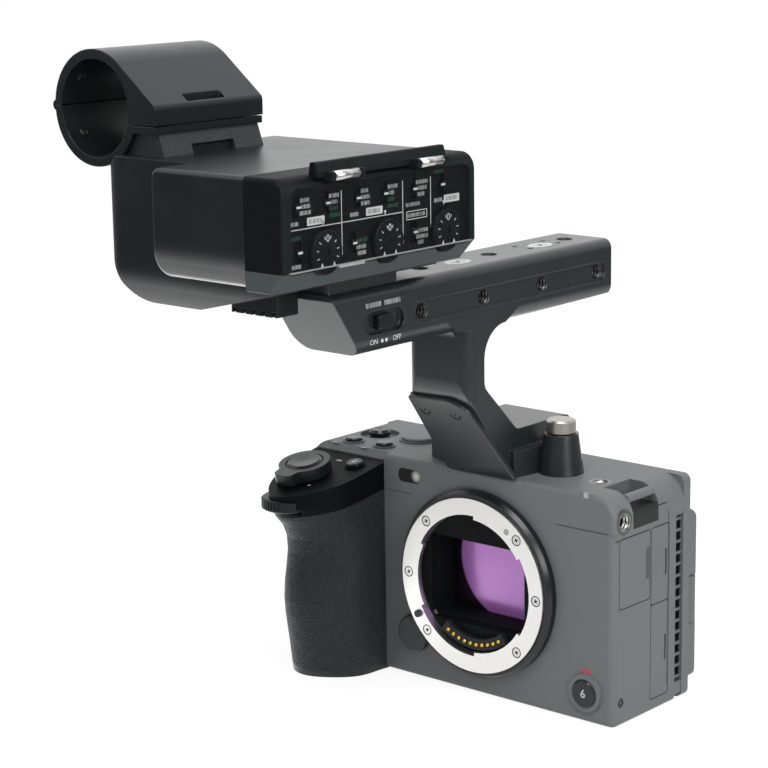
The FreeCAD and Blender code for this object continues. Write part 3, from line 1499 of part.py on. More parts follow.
def foot_cover():
    """The leaning plate on the front of the foot."""
    plate = Piece("foot_cover")
    run, rise = foot_slope()
    long = math.hypot(run.value, rise.value)
    left, right = s.bar_left, s.bar_right
    plate.pad("XY", -s.foot_cover_thick, 0, [
        (left + 1.4, 0), (right + 4.1, 0), (right - 2, long - 2.6, 6), (right - 8.5, long + 0.5, 6),
        (left - s.plate_overhang, long - 0.3, 1)])
    plate.fillet(0.5, lambda e: e.BoundBox.ZMin > -0.01)
    lean = 90 + math.degrees(math.atan2(run.value, rise.value))
    keep(plate.place(0, s.foot_front - 0.08, s.case_top + 0.05, (1, 0, 0), lean))


def thumb_screw():
    tall, shank = s.knob_tall, s.knob_shank
    gap = s.move_gap
    knob = turned("thumb_screw", [
        (0, -(s.boss_top - s.case_top) + 2), (shank, -(s.boss_top - s.case_top) + 2), (shank, gap),
        (s.knob_radius, gap), (s.knob_radius, tall - 0.6), (s.knob_radius - 0.6, tall), (0, tall)])
    keep(knob.place(s.boss_x, s.boss_y, s.boss_top))


def handle_switch():
    knob = Piece("handle_switch")
    face = s.bar_right
    half, tall = s.switch_knob_half, s.switch_knob_tall / 2
    knob.pad("YZ", face - s.switch_deep + s.move_gap, face + s.switch_proud,
             box(s.switch_y - half, s.switch_y + half, s.switch_z - tall, s.switch_z + tall, 0.8))
    knob.fillet(0.5, lambda e: e.BoundBox.XMin > face.value + s.switch_proud.value - 0.01)
    keep(knob)


# Audio box

def audio_shell():
    shell = Piece("audio_shell")
    front, rear, top, left = s.box_front, s.box_rear, s.box_top, s.box_left
    seam, floor = s.panel_seam, s.box_floor
    belly = floor - s.belly_drop
    shell.pad("XZ", front, rear, [
        (left, belly, s.box_belly_round), (s.belly_right, belly, 6.0), (seam, floor),
        (seam, top), (left, top, s.box_left_round)])
    shell.pad("XY", s.clamp_base, floor, box(s.clamp_left, s.clamp_right, s.clamp_front, s.clamp_rear, 1.0))
    shell.pocket("XZ", front, rear, Disc(s.mic_x, s.mic_z, s.mic_outer + s.move_gap))
    shell.pocket("XY", s.clamp_base - 10, floor,
                 box(s.bar_left - s.bar_side_gap, seam + 5, s.bar_front_top - 1.2, rear + 1))
    corner = s.box_corner_round
    shell.pocket("XY", s.clamp_base, top, [
        (left - 1, front - 1), (left + corner + 1, front - 1), (left + corner + 1, front),
        (left, front, corner), (left, front + corner + 1), (left - 1, front + corner + 1)])
    rib_front = s.clamp_front - 0.1
    slot = shell.pocket("XY", s.clamp_base, s.clamp_base + 1.6,
                        box(s.clamp_left + 1.2, s.clamp_left + 2.4, rib_front, s.clamp_rear + 0.1))
    shell.row_of(slot, "X_Axis", s.clamp_rib_pitch * (s.clamp_ribs - 1), s.clamp_ribs.value)
    sockets = [Disc(s.xlr_front_y + s.xlr_pitch * i, s.xlr_height, s.xlr_radius + 0.05) for i in range(2)]
    shell.pocket("YZ", left - 1, left + s.xlr_deep, *sockets)
    keep(shell)


def audio_front_cover():
    nose = Piece("audio_front_cover")
    nose.pad("XZ", s.nose_front, s.box_front, [
        (s.nose_left, s.nose_floor, 7.0), (s.panel_seam, s.nose_floor), (s.panel_seam, s.box_top),
        (s.nose_left, s.box_top, 3.0)])
    front = s.nose_front
    nose.fillet(1.4, lambda e: e.BoundBox.YMax < front.value + 0.01 and
                e.BoundBox.XMin < s.panel_seam.value - 0.1)
    keep(nose)


def level_dial_places():
    return [s.level_dial_front + s.level_dial_pitch * i for i in range(3)]


def lever_places():
    """Channel switches: (y, z) of each, from the front, upper row first."""
    return [(-124.0, 179.6), (-111.8, 179.6), (-98.9, 179.6), (-86.9, 179.6), (-73.9, 179.6),
            (-61.1, 179.6), (-123.7, 166.8), (-100.8, 166.8), (-73.9, 166.8)]


def control_panel():
    """The side of the box that carries the audio controls, with the strip that its cover hangs from."""
    panel = Piece("control_panel")
    front, rear, face = s.nose_front, s.box_rear, s.box_right
    shelf = s.panel_shelf_top
    panel.pad("XZ", front, rear, [
        (s.panel_seam, s.panel_floor), (s.panel_shelf_in, s.panel_floor), (face, shelf),
        (face, s.box_top, s.panel_round), (s.panel_seam, s.box_top)])
    panel.fillet(1.4, lambda e: e.BoundBox.YMax < front.value + 0.01 and
                 e.BoundBox.XMax > s.panel_seam.value + 0.1)
    panel.pad("XZ", s.hinge_strip_front, s.hinge_strip_rear, [
        (s.hinge_strip_left, s.box_top - 1), (face, s.box_top - 1), (face, s.box_top + 0.6, 0.4),
        (face - 0.9, s.box_top + s.hinge_strip_tall, 0.6),
        (s.hinge_strip_left + 0.5, s.box_top + s.hinge_strip_tall, 0.6),
        (s.hinge_strip_left, s.box_top)])
    floor = face - s.panel_recess
    margin = s.panel_margin
    panel.pocket("YZ", floor, face, [
        (front + margin, shelf - 1), (rear - margin + 1, shelf - 1),
        (rear - margin + 1, s.box_top - margin, 3.0), (front + margin, s.box_top - margin, 3.0)])
    gap = s.move_gap
    dial_back = s.level_dial_face - s.level_dial_thick
    height = s.level_dial_height
    wells = [Disc(y, height, s.level_dial_radius + gap) for y in level_dial_places()]
    panel.pocket("YZ", dial_back - gap, face, *wells)
    shafts = [Disc(y, height, s.level_dial_shaft) for y in level_dial_places()]
    panel.pad("YZ", dial_back - 1, s.level_dial_face - 0.6, *shafts)
    half_long = s.lever_long / 2 + gap
    half_tall = s.lever_slot_tall / 2
    slots = [box(y - half_long, y + half_long, z - half_tall, z + half_tall) for y, z in lever_places()]
    panel.pocket("YZ", floor - s.lever_slot_deep, floor, *slots)
    hinge_lugs(panel)
    keep(panel)


def barrel_places():
    return [s.barrel_front, s.barrel_second]


def cover_hinge():
    """The flip cover's hinge axis, as x and z."""
    return s.cover_inner_face + s.cover_thick / 2, s.cover_hinge_z


def hinge_lugs(panel):
    """Lugs and pins under the strip that hold the flip cover's barrels."""
    x, z = cover_hinge()
    gap, wide, reach = s.move_gap, s.hinge_lug_wide, s.cover_barrel
    for start in barrel_places():
        end = start + s.barrel_long
        for low, high in ((start - gap - wide, start - gap), (end + gap, end + gap + wide)):
            panel.pad("XZ", low, high, box(s.box_right - 2.5, x + reach, z - reach, z + reach, 0.6))
        panel.pad("XZ", start - gap - 0.5, end + gap + 0.5, Disc(x, z, s.cover_pin))


def flip_cover():
    """The clear cover over the audio controls, with its two hinge barrels."""
    cover = Piece("flip_cover")
    x, z = cover_hinge()
    inner = s.cover_inner_face
    outer = inner + s.cover_thick
    cover.pad("YZ", inner, outer, box(s.cover_front, s.cover_rear, s.cover_base, s.cover_top, 2.5))
    for start in barrel_places():
        end = start + s.barrel_long
        cover.pad("YZ", inner, outer, box(start, end, s.cover_top - 1, z))
        cover.pad("XZ", start, end, Disc(x, z, s.cover_barrel))
    for start in barrel_places():
        cover.pocket("XZ", start - 0.1, start + s.barrel_long + 0.1, Disc(x, z, s.cover_pin + 0.05))
    keep(cover)


def audio_controls():
    thick, radius = s.level_dial_thick, s.level_dial_radius
    bore = s.level_dial_shaft + 0.05
    for index, y in enumerate(level_dial_places(), start=1):
        dial = turned(f"level_dial_{index}", [
            (bore, 0), (radius, 0), (radius, thick - 0.4), (radius - 0.4, thick), (bore, thick)])
        keep(dial.place(s.level_dial_face - thick, y, s.level_dial_height, *FACING_RIGHT))
    back = s.box_right - s.panel_recess - s.lever_slot_deep + s.move_gap
    front = s.box_right - s.panel_recess + s.lever_proud
    for index, (y, z) in enumerate(lever_places(), start=1):
        lever = Piece(f"channel_switch_{index}")
        lever.pad("XY", 0, front - back, box(-s.lever_tall / 2, s.lever_tall / 2, -s.lever_long / 2,
                                             s.lever_long / 2, 0.3))
        keep(lever.place(back, y, z, *FACING_RIGHT))


def xlr_sockets():
    """Two microphone input sockets in the left side, each with its latch."""
    sockets = Piece("xlr_sockets")
    left = s.box_left
    places = [s.xlr_front_y + s.xlr_pitch * i for i in range(2)]
    height = s.xlr_height
    sockets.pad("YZ", left - 0.8, left + s.xlr_deep, *[Disc(y, height, s.xlr_radius) for y in places])
    for y in places:
        sockets.pocket("YZ", left - 0.8, left + s.xlr_deep - 2,
                       Disc(y, height, s.xlr_ring), Disc(y, height, s.xlr_core))
    holes = []
    for y in places:
        for angle in (0, 120, 240):
            across, up = radial(s.xlr_pin_circle, angle - 30)
            holes.append(Disc(y + across, height + up, s.xlr_pin_hole))
    sockets.pocket("YZ", left - 0.8, left + s.xlr_deep - 4, *holes)
    keep(sockets)


# Microphone holder

def mic_base():
    """The textured foot of the microphone holder."""
    foot = Piece("mic_base")
    front, rear, floor = s.mic_base_front, s.mic_base_rear, s.box_top
    foot.pad("XZ", front, rear, [
        (s.mic_base_left, floor), (s.mic_base_foot_x, floor), (s.mic_base_top_x, s.mic_base_top_z),
        (s.mic_base_left, s.mic_base_top_z)])
    foot.pocket("XZ", front, rear, Disc(s.mic_x, s.mic_z, s.mic_outer + 0.02))
    foot.pocket("YZ", s.mic_base_top_x - 1.2, s.mic_base_foot_x + 1,
                box(s.mic_notch_front, s.mic_notch_rear, floor, floor + s.mic_notch_tall))
    keep(foot)


def mic_hinge():
    """The microphone holder's hinge axis, as x and z."""
    return s.mic_x - s.mic_outer - s.mic_hinge_out, s.mic_z


def mic_knuckles():
    """Front and rear ends of the middle knuckle of the hinge."""
    third = (s.mic_rear - s.mic_front) / 3
    return s.mic_front + third * 0.6, s.mic_rear - third * 0.6


def mic_cradle():
    """The lower half of the holder's ring, with the hinge lugs on its left."""
    cradle = Piece("mic_cradle")
    front, rear, x, z = s.mic_front, s.mic_rear, s.mic_x, s.mic_z
    lip = s.mic_cover_lip_z
    cradle.pad("XZ", front, rear, Disc(x, z, s.mic_outer))
    cradle.pad("XZ", front, rear, [
        (x + 8, s.mic_base_top_z), (s.mic_base_top_x + 0.6, s.mic_base_top_z),
        (s.mic_base_top_x + 0.6, lip), (x + 8, lip)])
    cradle.pocket("XZ", front, rear, [
        (x - s.mic_outer - 1, z), (x - s.mic_bore + 4, z), (x - s.mic_bore + 4, lip),
        (x + s.mic_outer + 9, lip), (x + s.mic_outer + 9, z + s.mic_outer + 1),
        (x - s.mic_outer - 1, z + s.mic_outer + 1)])
    cradle.pocket("XZ", front, rear, Disc(x, z, s.mic_bore))
    hinge_x, hinge_z = mic_hinge()
    low, high = mic_knuckles()
    gap, barrel = s.move_gap, s.mic_hinge_barrel
    cradle.pocket("XZ", low - gap, high + gap, Disc(hinge_x, hinge_z, barrel + gap))
    for start, end in ((front + 1, low - gap), (high + gap, rear - 1)):
        cradle.pad("XZ", start, end, Disc(hinge_x, hinge_z, barrel))
    cradle.pad("XZ", low - gap - 0.5, high + gap + 0.5, Disc(hinge_x, hinge_z, s.mic_hinge_pin))
    keep(cradle)


def mic_cover():
    """The hinged upper half of the holder, with its straight flank and latch recess."""
    cover = Piece("mic_cover")
    front, rear, x, z = s.mic_front, s.mic_rear, s.mic_x, s.mic_z
    gap = s.move_gap
    edge_x, edge_z = s.mic_cover_edge_x, s.mic_cover_edge_z
    lip = s.mic_cover_lip_z + gap
    reach_x, reach_z = (edge_x - x).value, (edge_z - z).value
    turn = math.atan2(reach_z, reach_x) + math.acos(s.mic_outer.value / math.hypot(reach_x, reach_z))
    touch = (x + s.mic_outer * math.cos(turn), z + s.mic_outer * math.sin(turn))
    cover.pad("XZ", front, rear, Disc(x, z, s.mic_outer))
    cover.pad("XZ", front, rear, [
        (x, z), (x + 10, lip), (edge_x, lip), (edge_x, edge_z, s.mic_edge_round), touch])
    cover.pocket("XZ", front, rear, [
        (x - s.mic_outer - 1, z + gap), (x - s.mic_bore + 4, z + gap), (x - s.mic_bore + 4, lip),
        (x + s.mic_outer + 12, lip), (x + s.mic_outer + 12, z - s.mic_outer - 1),
        (x - s.mic_outer - 1, z - s.mic_outer - 1)])
    cover.pocket("XZ", front, rear, Disc(x, z, s.mic_bore))
    cover.pocket("XY", edge_z - s.mic_latch_deep, edge_z + 20,
                 box(edge_x - 1 - s.mic_latch_wide, edge_x - 1, s.mic_latch_front, s.mic_latch_rear, 0.5))
    hinge_x, hinge_z = mic_hinge()
    low, high = mic_knuckles()
    barrel = s.mic_hinge_barrel
    for start, end in ((front - 0.1, low), (high, rear + 0.1)):
        cover.pocket("XZ", start, end, Disc(hinge_x, hinge_z, barrel + gap))
    cover.pad("XZ", low, high, Disc(hinge_x, hinge_z, barrel))
    cover.pocket("XZ", low - 0.1, high + 0.1, Disc(hinge_x, hinge_z, s.mic_hinge_pin + 0.05))
    keep(cover)


# Build, check and write every sub-part

for build in (
        lens_mount_ring, mount_collar, light_box, contact_block, lens_release, sensor, front_cover,
        main_board, terminal_doors, top_cover, tally_window, rear_cover, rear_controls, bottom_plate,
        screws, thread_inserts, grip, grip_controls, casing_controls, battery, battery_door,
        fan_housing, fan_rotor, monitor, handle_body, foot_cover, thumb_screw, handle_switch,
        audio_shell, audio_front_cover, control_panel, flip_cover, audio_controls, xlr_sockets,
        mic_base, mic_cradle, mic_cover):
    build()

doc.recompute()

for item in doc.Objects:
    if "Invalid" in item.State or "Error" in item.State:
        raise RuntimeError(f"{item.Label} did not recompute: {item.State}")

for sub_part in PARTS:
    shape = sub_part.Shape
    if shape.isNull() or not shape.isValid() or not shape.Solids:
        raise RuntimeError(f"{sub_part.Label} has no valid solid")
    shape.exportStep(f"parts/{sub_part.Label}.step")

print(f"{len(PARTS)} sub-parts written")
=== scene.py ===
import math

import bmesh
import bpy
from bpy.props import FloatProperty, FloatVectorProperty, IntProperty, PointerProperty
from mathutils import Matrix, Vector


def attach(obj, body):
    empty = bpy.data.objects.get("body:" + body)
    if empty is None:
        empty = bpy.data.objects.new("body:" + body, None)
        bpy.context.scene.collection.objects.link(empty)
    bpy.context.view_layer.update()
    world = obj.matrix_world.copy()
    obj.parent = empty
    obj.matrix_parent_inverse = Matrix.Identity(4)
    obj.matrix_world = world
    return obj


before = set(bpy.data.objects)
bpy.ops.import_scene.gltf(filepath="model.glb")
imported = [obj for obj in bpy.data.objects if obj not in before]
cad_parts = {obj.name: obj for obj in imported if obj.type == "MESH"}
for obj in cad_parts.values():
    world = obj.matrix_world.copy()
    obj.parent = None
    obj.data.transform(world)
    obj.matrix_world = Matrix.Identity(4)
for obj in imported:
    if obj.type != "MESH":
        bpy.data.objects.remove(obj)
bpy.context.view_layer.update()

bl_info = {
    "name": "Cinema camera dressing",
    "version": (1, 0, 0),
    "blender": (4, 5, 0),
    "location": "View3D > Sidebar > Camera",
    "description": "Finishes, small parts and stage for a cinema camera with handle and audio box",
    "category": "Object",
}

MM = 0.001

# Places and sizes in millimetres, as the CAD model has them: casing, grip and lens mount

CASE_FRONT = -13.5
CASE_RIGHT = 55.2
CASE_TOP = 76.8
REST_BACK = 32.7
SEAM_HEIGHT = 64.9
THREAD_RADIUS, THREAD_PITCH = 2.6, 1.27
SLOT_X, SLOT_Y, SLOT_Z = (43.7, 50.2), (-3.35, 10.85), (72.95, 76.5)
VENT_X, VENT_Y, VENT_Z = (40.0, 53.9), (20.9, 25.6), (8.0, 70.5)
RECORD_PLACE = (44.0, 10.2)
TALLY_PALE_SPOT = (-27.3, 71.2)
WHEEL_PLACE = (-49.0, 34.0)
WORD_LONG = 4.4
GRIP_HIGH = 74.2
GRIP_RISE = 7.2 / 34.0
AXIS_HEIGHT = 38.94
FLANGE_FRONT = -18.0
SCREW_CIRCLE = 27.1
PIN_FRONT = -16.8
PIN_SWEEP = 63.0
PICTURE_HALF = (20.3, 14.3)
# Circle on the sensor that bounds its painted pool of light; outside it the sensor is painted as
# shadow
SENSOR_LIGHT_POOL_CENTRE, SENSOR_LIGHT_POOL_RADIUS = (4.3, 44.0), 20.2

# Handle, audio box and microphone holder

PLATE_LOW = (-13.8, 76.8)
PLATE_HIGH = (-32.1, 104.4)
BAR_RIGHT = 11.5
BAR_TOP = 149.0
GROOVE_HEIGHT = 138.5
HANDLE_THREAD_DEEP = 4.5
HANDLE_SIDE_HOLES = (37.5, 6.9, -23.7, -54.3)
HANDLE_TOP_HOLES = (-41.2, -6.3, 34.8)
KNOB_PLACE = (20.4, 4.8)
SWITCH_WORDS = 132.4
BOX_TOP = 187.5
# Bounds of the painted sheen on the audio box's lower front edges, where normals also lean down
BELLY_FRONT, BELLY_LEFT, BELLY_Z = (-129.5, -126.0), -63.0, (168.5, 156.5)
CHIN_RIGHT, CHIN_REAR, CHIN_Z = -20.5, -110.0, (157.0, 144.5)
PANEL_FACE = 24.6
# Below this height the panel's shelf is painted grey as a painted reflection
SHELF_TOP = 161.3
DIAL_FACE = 26.4
DIAL_HEIGHT = 165.8
DIAL_PLACES = (-113.3, -86.6, -59.9)
DIAL_RIBS_RADIUS = 6.35
TICK_RADIUS = 4.3
TICK_SWEEP = 224.0
LINE_HEIGHT = 173.2
COVER_EDGE = 27.25
MIC_AXIS = (-70.0, 201.5)
MIC_PAD_REACH = 15.2

# Light and painted light: the painted sheen of the audio box, shares and strengths, the reach of
# the lit floor and of its painted pool of light, the view's place in millimetres, and the point
# that the lamps aim at in metres

PAINTED_SHEEN_TONE = 0.34
PAINTED_SHEEN_SHARE = 0.6
SHEEN_LEAN = 2.5
FLOOR_DARK = 0.12
FLOOR_WHITE = 1.13
FLOOR_SHARE = 0.75
FLOOR_FAR = (220.0, 650.0)
FLOOR_PAINTED_POOL = 1.6
# Place of the floor's painted pool of light, seen only in gloss
PAINTED_POOL_X, PAINTED_POOL_Y = (-95.0, -45.0), (-120.0, -75.0)
LAMP_AIM = (0.0, -0.02, 0.1)
VIEW_ANGLES = (40.629, 12.036, -0.716)
VIEW_PLACE = (453.97, -577.05, 264.34)
VIEW_SHIFT = (-0.0332, -0.0110)


# Colours

def linear(channel):
    return channel / 12.92 if channel <= 0.04045 else ((channel + 0.055) / 1.055) ** 2.4


def colour(code):
    """A linear colour from a six-figure hex code."""
    return tuple(linear(int(code[i:i + 2], 16) / 255) for i in (0, 2, 4))


def opaque(rgb):
    return (*rgb[:3], 1.0)


def shade(rgb, factor):
    return tuple(min(1.0, channel * factor) for channel in rgb[:3])


# Settings that a user would change

def tint(name, use, code):
    return FloatVectorProperty(name=name, description=use, subtype="COLOR", default=colour(code))


def count(name, use, default, least):
    return IntProperty(name=name, description=use, default=default, min=least)


def amount(name, use, default, least=0.0, unit="NONE"):
    return FloatProperty(name=name, description=use, default=default, min=least, unit=unit)


class FinishSettings(bpy.types.PropertyGroup):
    """Colours of the camera's finishes."""
    body_grey: tint("Body grey", "Paint of the casing", "5f6363")
    handle_black: tint("Handle black", "Paint of the carrying handle", "1d2324")
    box_black: tint("Box black", "Moulding of the audio box", "11181a")
    grip_black: tint("Grip black", "Rubber of the grip", "1d2427")
    sensor_purple: tint("Sensor purple", "Cover glass of the sensor", "bc7ccc")
    print_white: tint("Print white", "Printed marks", "c8ccca")
    print_green: tint("Print green", "Marks of the automatic setting", "14603f")


class DetailSettings(bpy.types.PropertyGroup):
    """Sizes of the small parts."""
    dial_ribs: count("Dial ribs", "Ribs round a level dial", 36, 8)
    dial_ticks: count("Dial ticks", "Marks round a level dial", 8, 2)
    front_dial_ribs: count("Front dial ribs", "Teeth round the front dial", 44, 8)
    wheel_ribs: count("Wheel ribs", "Teeth round the rear wheel", 48, 8)
    stick_ribs: count("Stick ribs", "Ridges on the control stick", 20, 6)
    pins: count("Contact pins", "Gold pins of the lens mount", 10, 2)
    stroke_pitch: amount("Stroke pitch", "Spacing of fine print, in millimetres", 0.54, 0.2)


class StageSettings(bpy.types.PropertyGroup):
    """Floor, lamps and camera."""
    floor_size: amount("Floor", "Side of the square floor", 40.0, unit="LENGTH")
    top_power: amount("Top lamp", "Power of the lamp overhead", 8.0)
    key_power: amount("Side lamp", "Power of the lamp on the right", 6.0)
    fill_power: amount("Fill lamp", "Power of the lamp on the left", 2.2)
    room_light: amount("Room light", "Strength of the surrounding light", 1.0)
    focal_length: amount("Focal length", "Focal length for a 36 mm sensor", 105.785)


SETTINGS = {"camera_finishes": FinishSettings, "camera_details": DetailSettings,
            "camera_stage": StageSettings}


# Node trees

def operator(operation, swapped=False):
    """A Python operator that adds a math node."""
    def act(self, other):
        return self.nodes.sum(operation, *((other, self) if swapped else (self, other)))
    return act


class Value:
    """A socket of a node tree that takes part in Python sums."""

    def __init__(self, nodes, socket):
        self.nodes = nodes
        self.socket = socket

    __add__ = __radd__ = operator("ADD")
    __mul__ = __rmul__ = operator("MULTIPLY")
    __sub__ = operator("SUBTRACT")
    __rsub__ = operator("SUBTRACT", True)
    __pow__ = operator("POWER")
    __gt__ = operator("GREATER_THAN")
    __lt__ = operator("LESS_THAN")

    def clamped(self):
        return self.nodes.sum("MINIMUM", self.nodes.sum("MAXIMUM", self, 0), 1)

    def within(self, limits):
        return (self > limits[0]) * (self < limits[1])

    def other(self, out):
        """Another output of the same node."""
        return Value(self.nodes, self.socket.node.outputs[out])


class Nodes:
    """A node tree being built, with one method that adds any node."""

    def __init__(self, tree):
        self.tree = tree
        tree.nodes.clear()

    def feed(self, socket, value):
        if isinstance(value, Value):
            self.tree.links.new(value.socket, socket)
        else:
            socket.default_value = value

    def node(self, kind, inputs=None, out=0, **settings):
        """Add a node; its settings come first, then the values or links of its sockets."""
        made = self.tree.nodes.new(kind)
        for key, value in settings.items():
            setattr(made, key, value)
        for key, value in (inputs or {}).items():
            self.feed(made.inputs[key], value)
        return Value(self, made.outputs[out])

    def sum(self, operation, *inputs):
        return self.node("ShaderNodeMath", dict(enumerate(inputs)), operation=operation)

    def vector(self, **axes):
        return self.node("ShaderNodeCombineXYZ", axes)

    def split(self, vector):
        first = self.node("ShaderNodeSeparateXYZ", {0: vector})
        return first, first.other(1), first.other(2)

    def between(self, factor, low, high, start=0, end=1):
        """A factor spread from low to high while it goes from start to end."""
        return self.node("ShaderNodeMapRange", {
            "Value": factor, "From Min": start, "From Max": end, "To Min": low, "To Max": high},
            clamp=True)

    def ray(self, kind):
        return self.node("ShaderNodeLightPath", out=f"Is {kind} Ray")

    def looked_at(self):
        """One for what the view sees, also through clear plastic."""
        return (self.ray("Camera") + self.ray("Transmission")).clamped()


class Finish(Nodes):
    """A material being built round its shader."""

    def __init__(self, name, base, roughness=0.5, gloss=0.5, **constants):
        self.base = base
        self.material = bpy.data.materials.new(name)
        self.material.use_nodes = True
        self.material.diffuse_color = opaque(base)
        super().__init__(self.material.node_tree)
        self.surface = self.tree.nodes.new("ShaderNodeOutputMaterial").inputs["Surface"]
        self.shader = self.node("ShaderNodeBsdfPrincipled", {"Specular IOR Level": gloss})
        self.feed(self.surface, self.shader)
        self.place = self.node("ShaderNodeTexCoord", out="Object")
        self.set(base_color=opaque(base), roughness=roughness, **constants)

    def set(self, **values):
        """Feed the shader's sockets, named as in base_color, and return the material."""
        for key, value in values.items():
            socket = "IOR" if key == "ior" else key.replace("_", " ").title()
            self.feed(self.shader.socket.node.inputs[socket], value)
        return self.material

    def noise(self, scale, detail=3, roughness=0.55, vector=None):
        return self.node("ShaderNodeTexNoise", {
            "Vector": vector or self.place, "Scale": scale, "Detail": detail,
            "Roughness": roughness})

    def cells(self, scale, feature="F1", vector=None):
        return self.node("ShaderNodeTexVoronoi", {"Vector": vector or self.place, "Scale": scale},
                         feature=feature)

    def millimetres(self):
        """Object coordinates in millimetres, as three values."""
        return [value * 1000 for value in self.split(self.place)]

    def blend(self, factor, low, high):
        """Two colours mixed by a factor."""
        low, high = (tone if isinstance(tone, Value) else opaque(tone) for tone in (low, high))
        return self.node("ShaderNodeMix", {0: factor, 6: low, 7: high}, 2, data_type="RGBA")

    def tones(self, factor, low, high):
        """Two shades of the finish's own colour mixed by a factor."""
        return self.blend(factor, shade(self.base, low), shade(self.base, high))

    def rounded(self, radius):
        """The surface normal with its edges softened, the radius in millimetres."""
        return self.node("ShaderNodeBevel", {"Radius": radius * MM}, samples=4)

    def bump(self, height, depth, strength=1, normal=None):
        """Relief from a height between 0 and 1, its depth in millimetres."""
        inputs = {"Height": height, "Distance": depth * MM, "Strength": strength}
        if normal:
            inputs["Normal"] = normal
        return self.node("ShaderNodeBump", inputs)


def reach(first, second, centre):
    """Distance from a centre in the plane of two values."""
    across = first - centre[0]
    up = second - centre[1]
    return (across * across + up * up) ** 0.5


# Finishes

def shaded_hollow(made):
    """A mask over the insides of the strap slot and the air vent, which get no light."""
    x, y, z = made.millimetres()
    inner = ((x < SLOT_X[1]) + (z < SLOT_Z[0])).clamped()
    slot = (x > SLOT_X[0]) * y.within(SLOT_Y) * (z < SLOT_Z[1]) * inner
    vent = x.within(VENT_X) * y.within(VENT_Y) * z.within(VENT_Z)
    return (slot + vent).clamped()


def rolled_under_painted_sheen(made, normal):
    """The swell of the audio box to its lower front edges: normals that lean down, and a painted
    sheen there, a paler and partly metallic colour that stands in for the floor's light.
    """
    x, y, z = made.millimetres()
    front = made.between(y, 1, 0, *BELLY_FRONT) * (x > BELLY_LEFT)
    face = made.between(z, 0, 1, *BELLY_Z) * front
    under = made.between(z, 0, 1, *CHIN_Z) * (1 - front)
    under = under * ((x < CHIN_RIGHT) + (y < CHIN_REAR)).clamped()
    painted_sheen = face * face * face + under * under * under
    down = made.vector(Z=painted_sheen * SHEEN_LEAN * -1)
    leant = made.node("ShaderNodeVectorMath", {0: normal, 1: down}, operation="ADD")
    return made.node("ShaderNodeVectorMath", {0: leant}, operation="NORMALIZE"), painted_sheen


def paint(name, base, roughness=0.5, gloss=0.35, grain=0.012, edge=0.25, painted_shade_mask=None):
    """Sprayed metal paint: fine speckle, soft edges, a slow drift of tone, and painted shade in the
    hollows that a mask picks out.
    """
    made = Finish(name, base, roughness, gloss)
    fine = made.noise(2600, 2)
    slow = made.noise(38)
    tone = made.tones(slow, 0.93, 1.07)
    tone = made.blend(made.between(fine, 0, 0.5), tone, shade(base, 1.25))
    if painted_shade_mask:
        # Painted shade: where the mask is set, the paint is darkened to 0.12 of its colour
        tone = made.blend(painted_shade_mask(made), tone, shade(base, 0.12))
    return made.set(
        base_color=tone,
        roughness=made.between(slow * 0.5 + fine * 0.5, roughness - 0.06, roughness + 0.08),
        normal=made.bump(fine, grain, normal=made.rounded(edge)))


def moulded(name, base, roughness=0.5, gloss=0.25, grain=0.02, pitch=1500, edge=0.2, roll=None,
            coat=None):
    """Moulded plastic with a fine spark-eroded grain and faint handling marks."""
    made = Finish(name, base, roughness, gloss, **(coat or {}))
    smear = made.noise(55, 4, 0.6)
    soft = made.rounded(edge)
    tone = made.tones(smear, 0.84, 1.16)
    # With a roll, normals lean down and the colour pales and turns partly metallic there: a painted
    # sheen of the floor's light
    if roll:
        soft, painted_sheen = roll(made, soft)
        tone = made.blend(painted_sheen, tone, (PAINTED_SHEEN_TONE,) * 3)
        made.set(metallic=painted_sheen * PAINTED_SHEEN_SHARE)
    return made.set(
        base_color=tone, roughness=made.between(smear, roughness - 0.07, roughness + 0.07),
        normal=made.bump(made.cells(pitch), grain, normal=soft))


def leathered(name, base, roughness, pitch, depth, gloss=0.4):
    """Rubber with a pebbled leather relief: rounded cells parted by creases, darker in the creases
    as painted shade and lighter on the pebble tops as painted highlights.
    """
    made = Finish(name, base, roughness, gloss)
    warp = made.noise(pitch * 0.5, 2)
    drift = made.node("ShaderNodeTexNoise", {"Vector": made.place, "Scale": pitch * 0.4}, "Color")
    bent = made.node("ShaderNodeVectorMath", {0: drift, 1: (0.68 / pitch,) * 3, 2: made.place},
                     operation="MULTIPLY_ADD")
    pebble = made.between(made.cells(pitch, "DISTANCE_TO_EDGE", bent), 0, 1, 0, 0.32)
    # Painted highlight on the pebble tops; the creases get painted shade at 0.6 of the colour
    top = made.tones(warp, 0.95, 1.25)
    return made.set(
        base_color=made.blend(pebble, shade(base, 0.6), top), normal=made.bump(pebble, depth, 0.9),
        roughness=made.between(pebble, roughness + 0.14, roughness - 0.06))


def brushed(name, base, roughness, centre, axis="Y"):
    """Turned metal: hairline rings about an axis over a bright base."""
    made = Finish(name, base, roughness, metallic=1)
    x, y, z = made.millimetres()
    ring = made.vector(X=reach(x, z if axis == "Y" else y, centre) * 0.9)
    line = made.noise(9, 5, 0.7, ring)
    worn = made.noise(60) * 0.6 + line * 0.4
    return made.set(
        base_color=made.tones(line, 0.9, 1.05),
        roughness=made.between(worn, roughness - 0.08, roughness + 0.12),
        normal=made.bump(line, 0.002, 0.6, made.rounded(0.15)))


def plain_metal(name, base, roughness):
    """Small turned or stamped metal parts with fine scratches."""
    made = Finish(name, base, roughness, metallic=1)
    scratch = made.noise(400, 4, 0.7)
    return made.set(
        base_color=made.tones(scratch, 0.8, 1.1),
        roughness=made.between(scratch, roughness - 0.1, roughness + 0.15),
        normal=made.bump(scratch, 0.004, 0.5, made.rounded(0.12)))


def printed(name, base):
    """Pad-printed ink with slightly uneven cover."""
    made = Finish(name, base, 0.55)
    cover = made.noise(2400, 2)
    return made.set(
        base_color=made.tones(cover, 0.82, 1.05), roughness=made.between(cover, 0.48, 0.66))


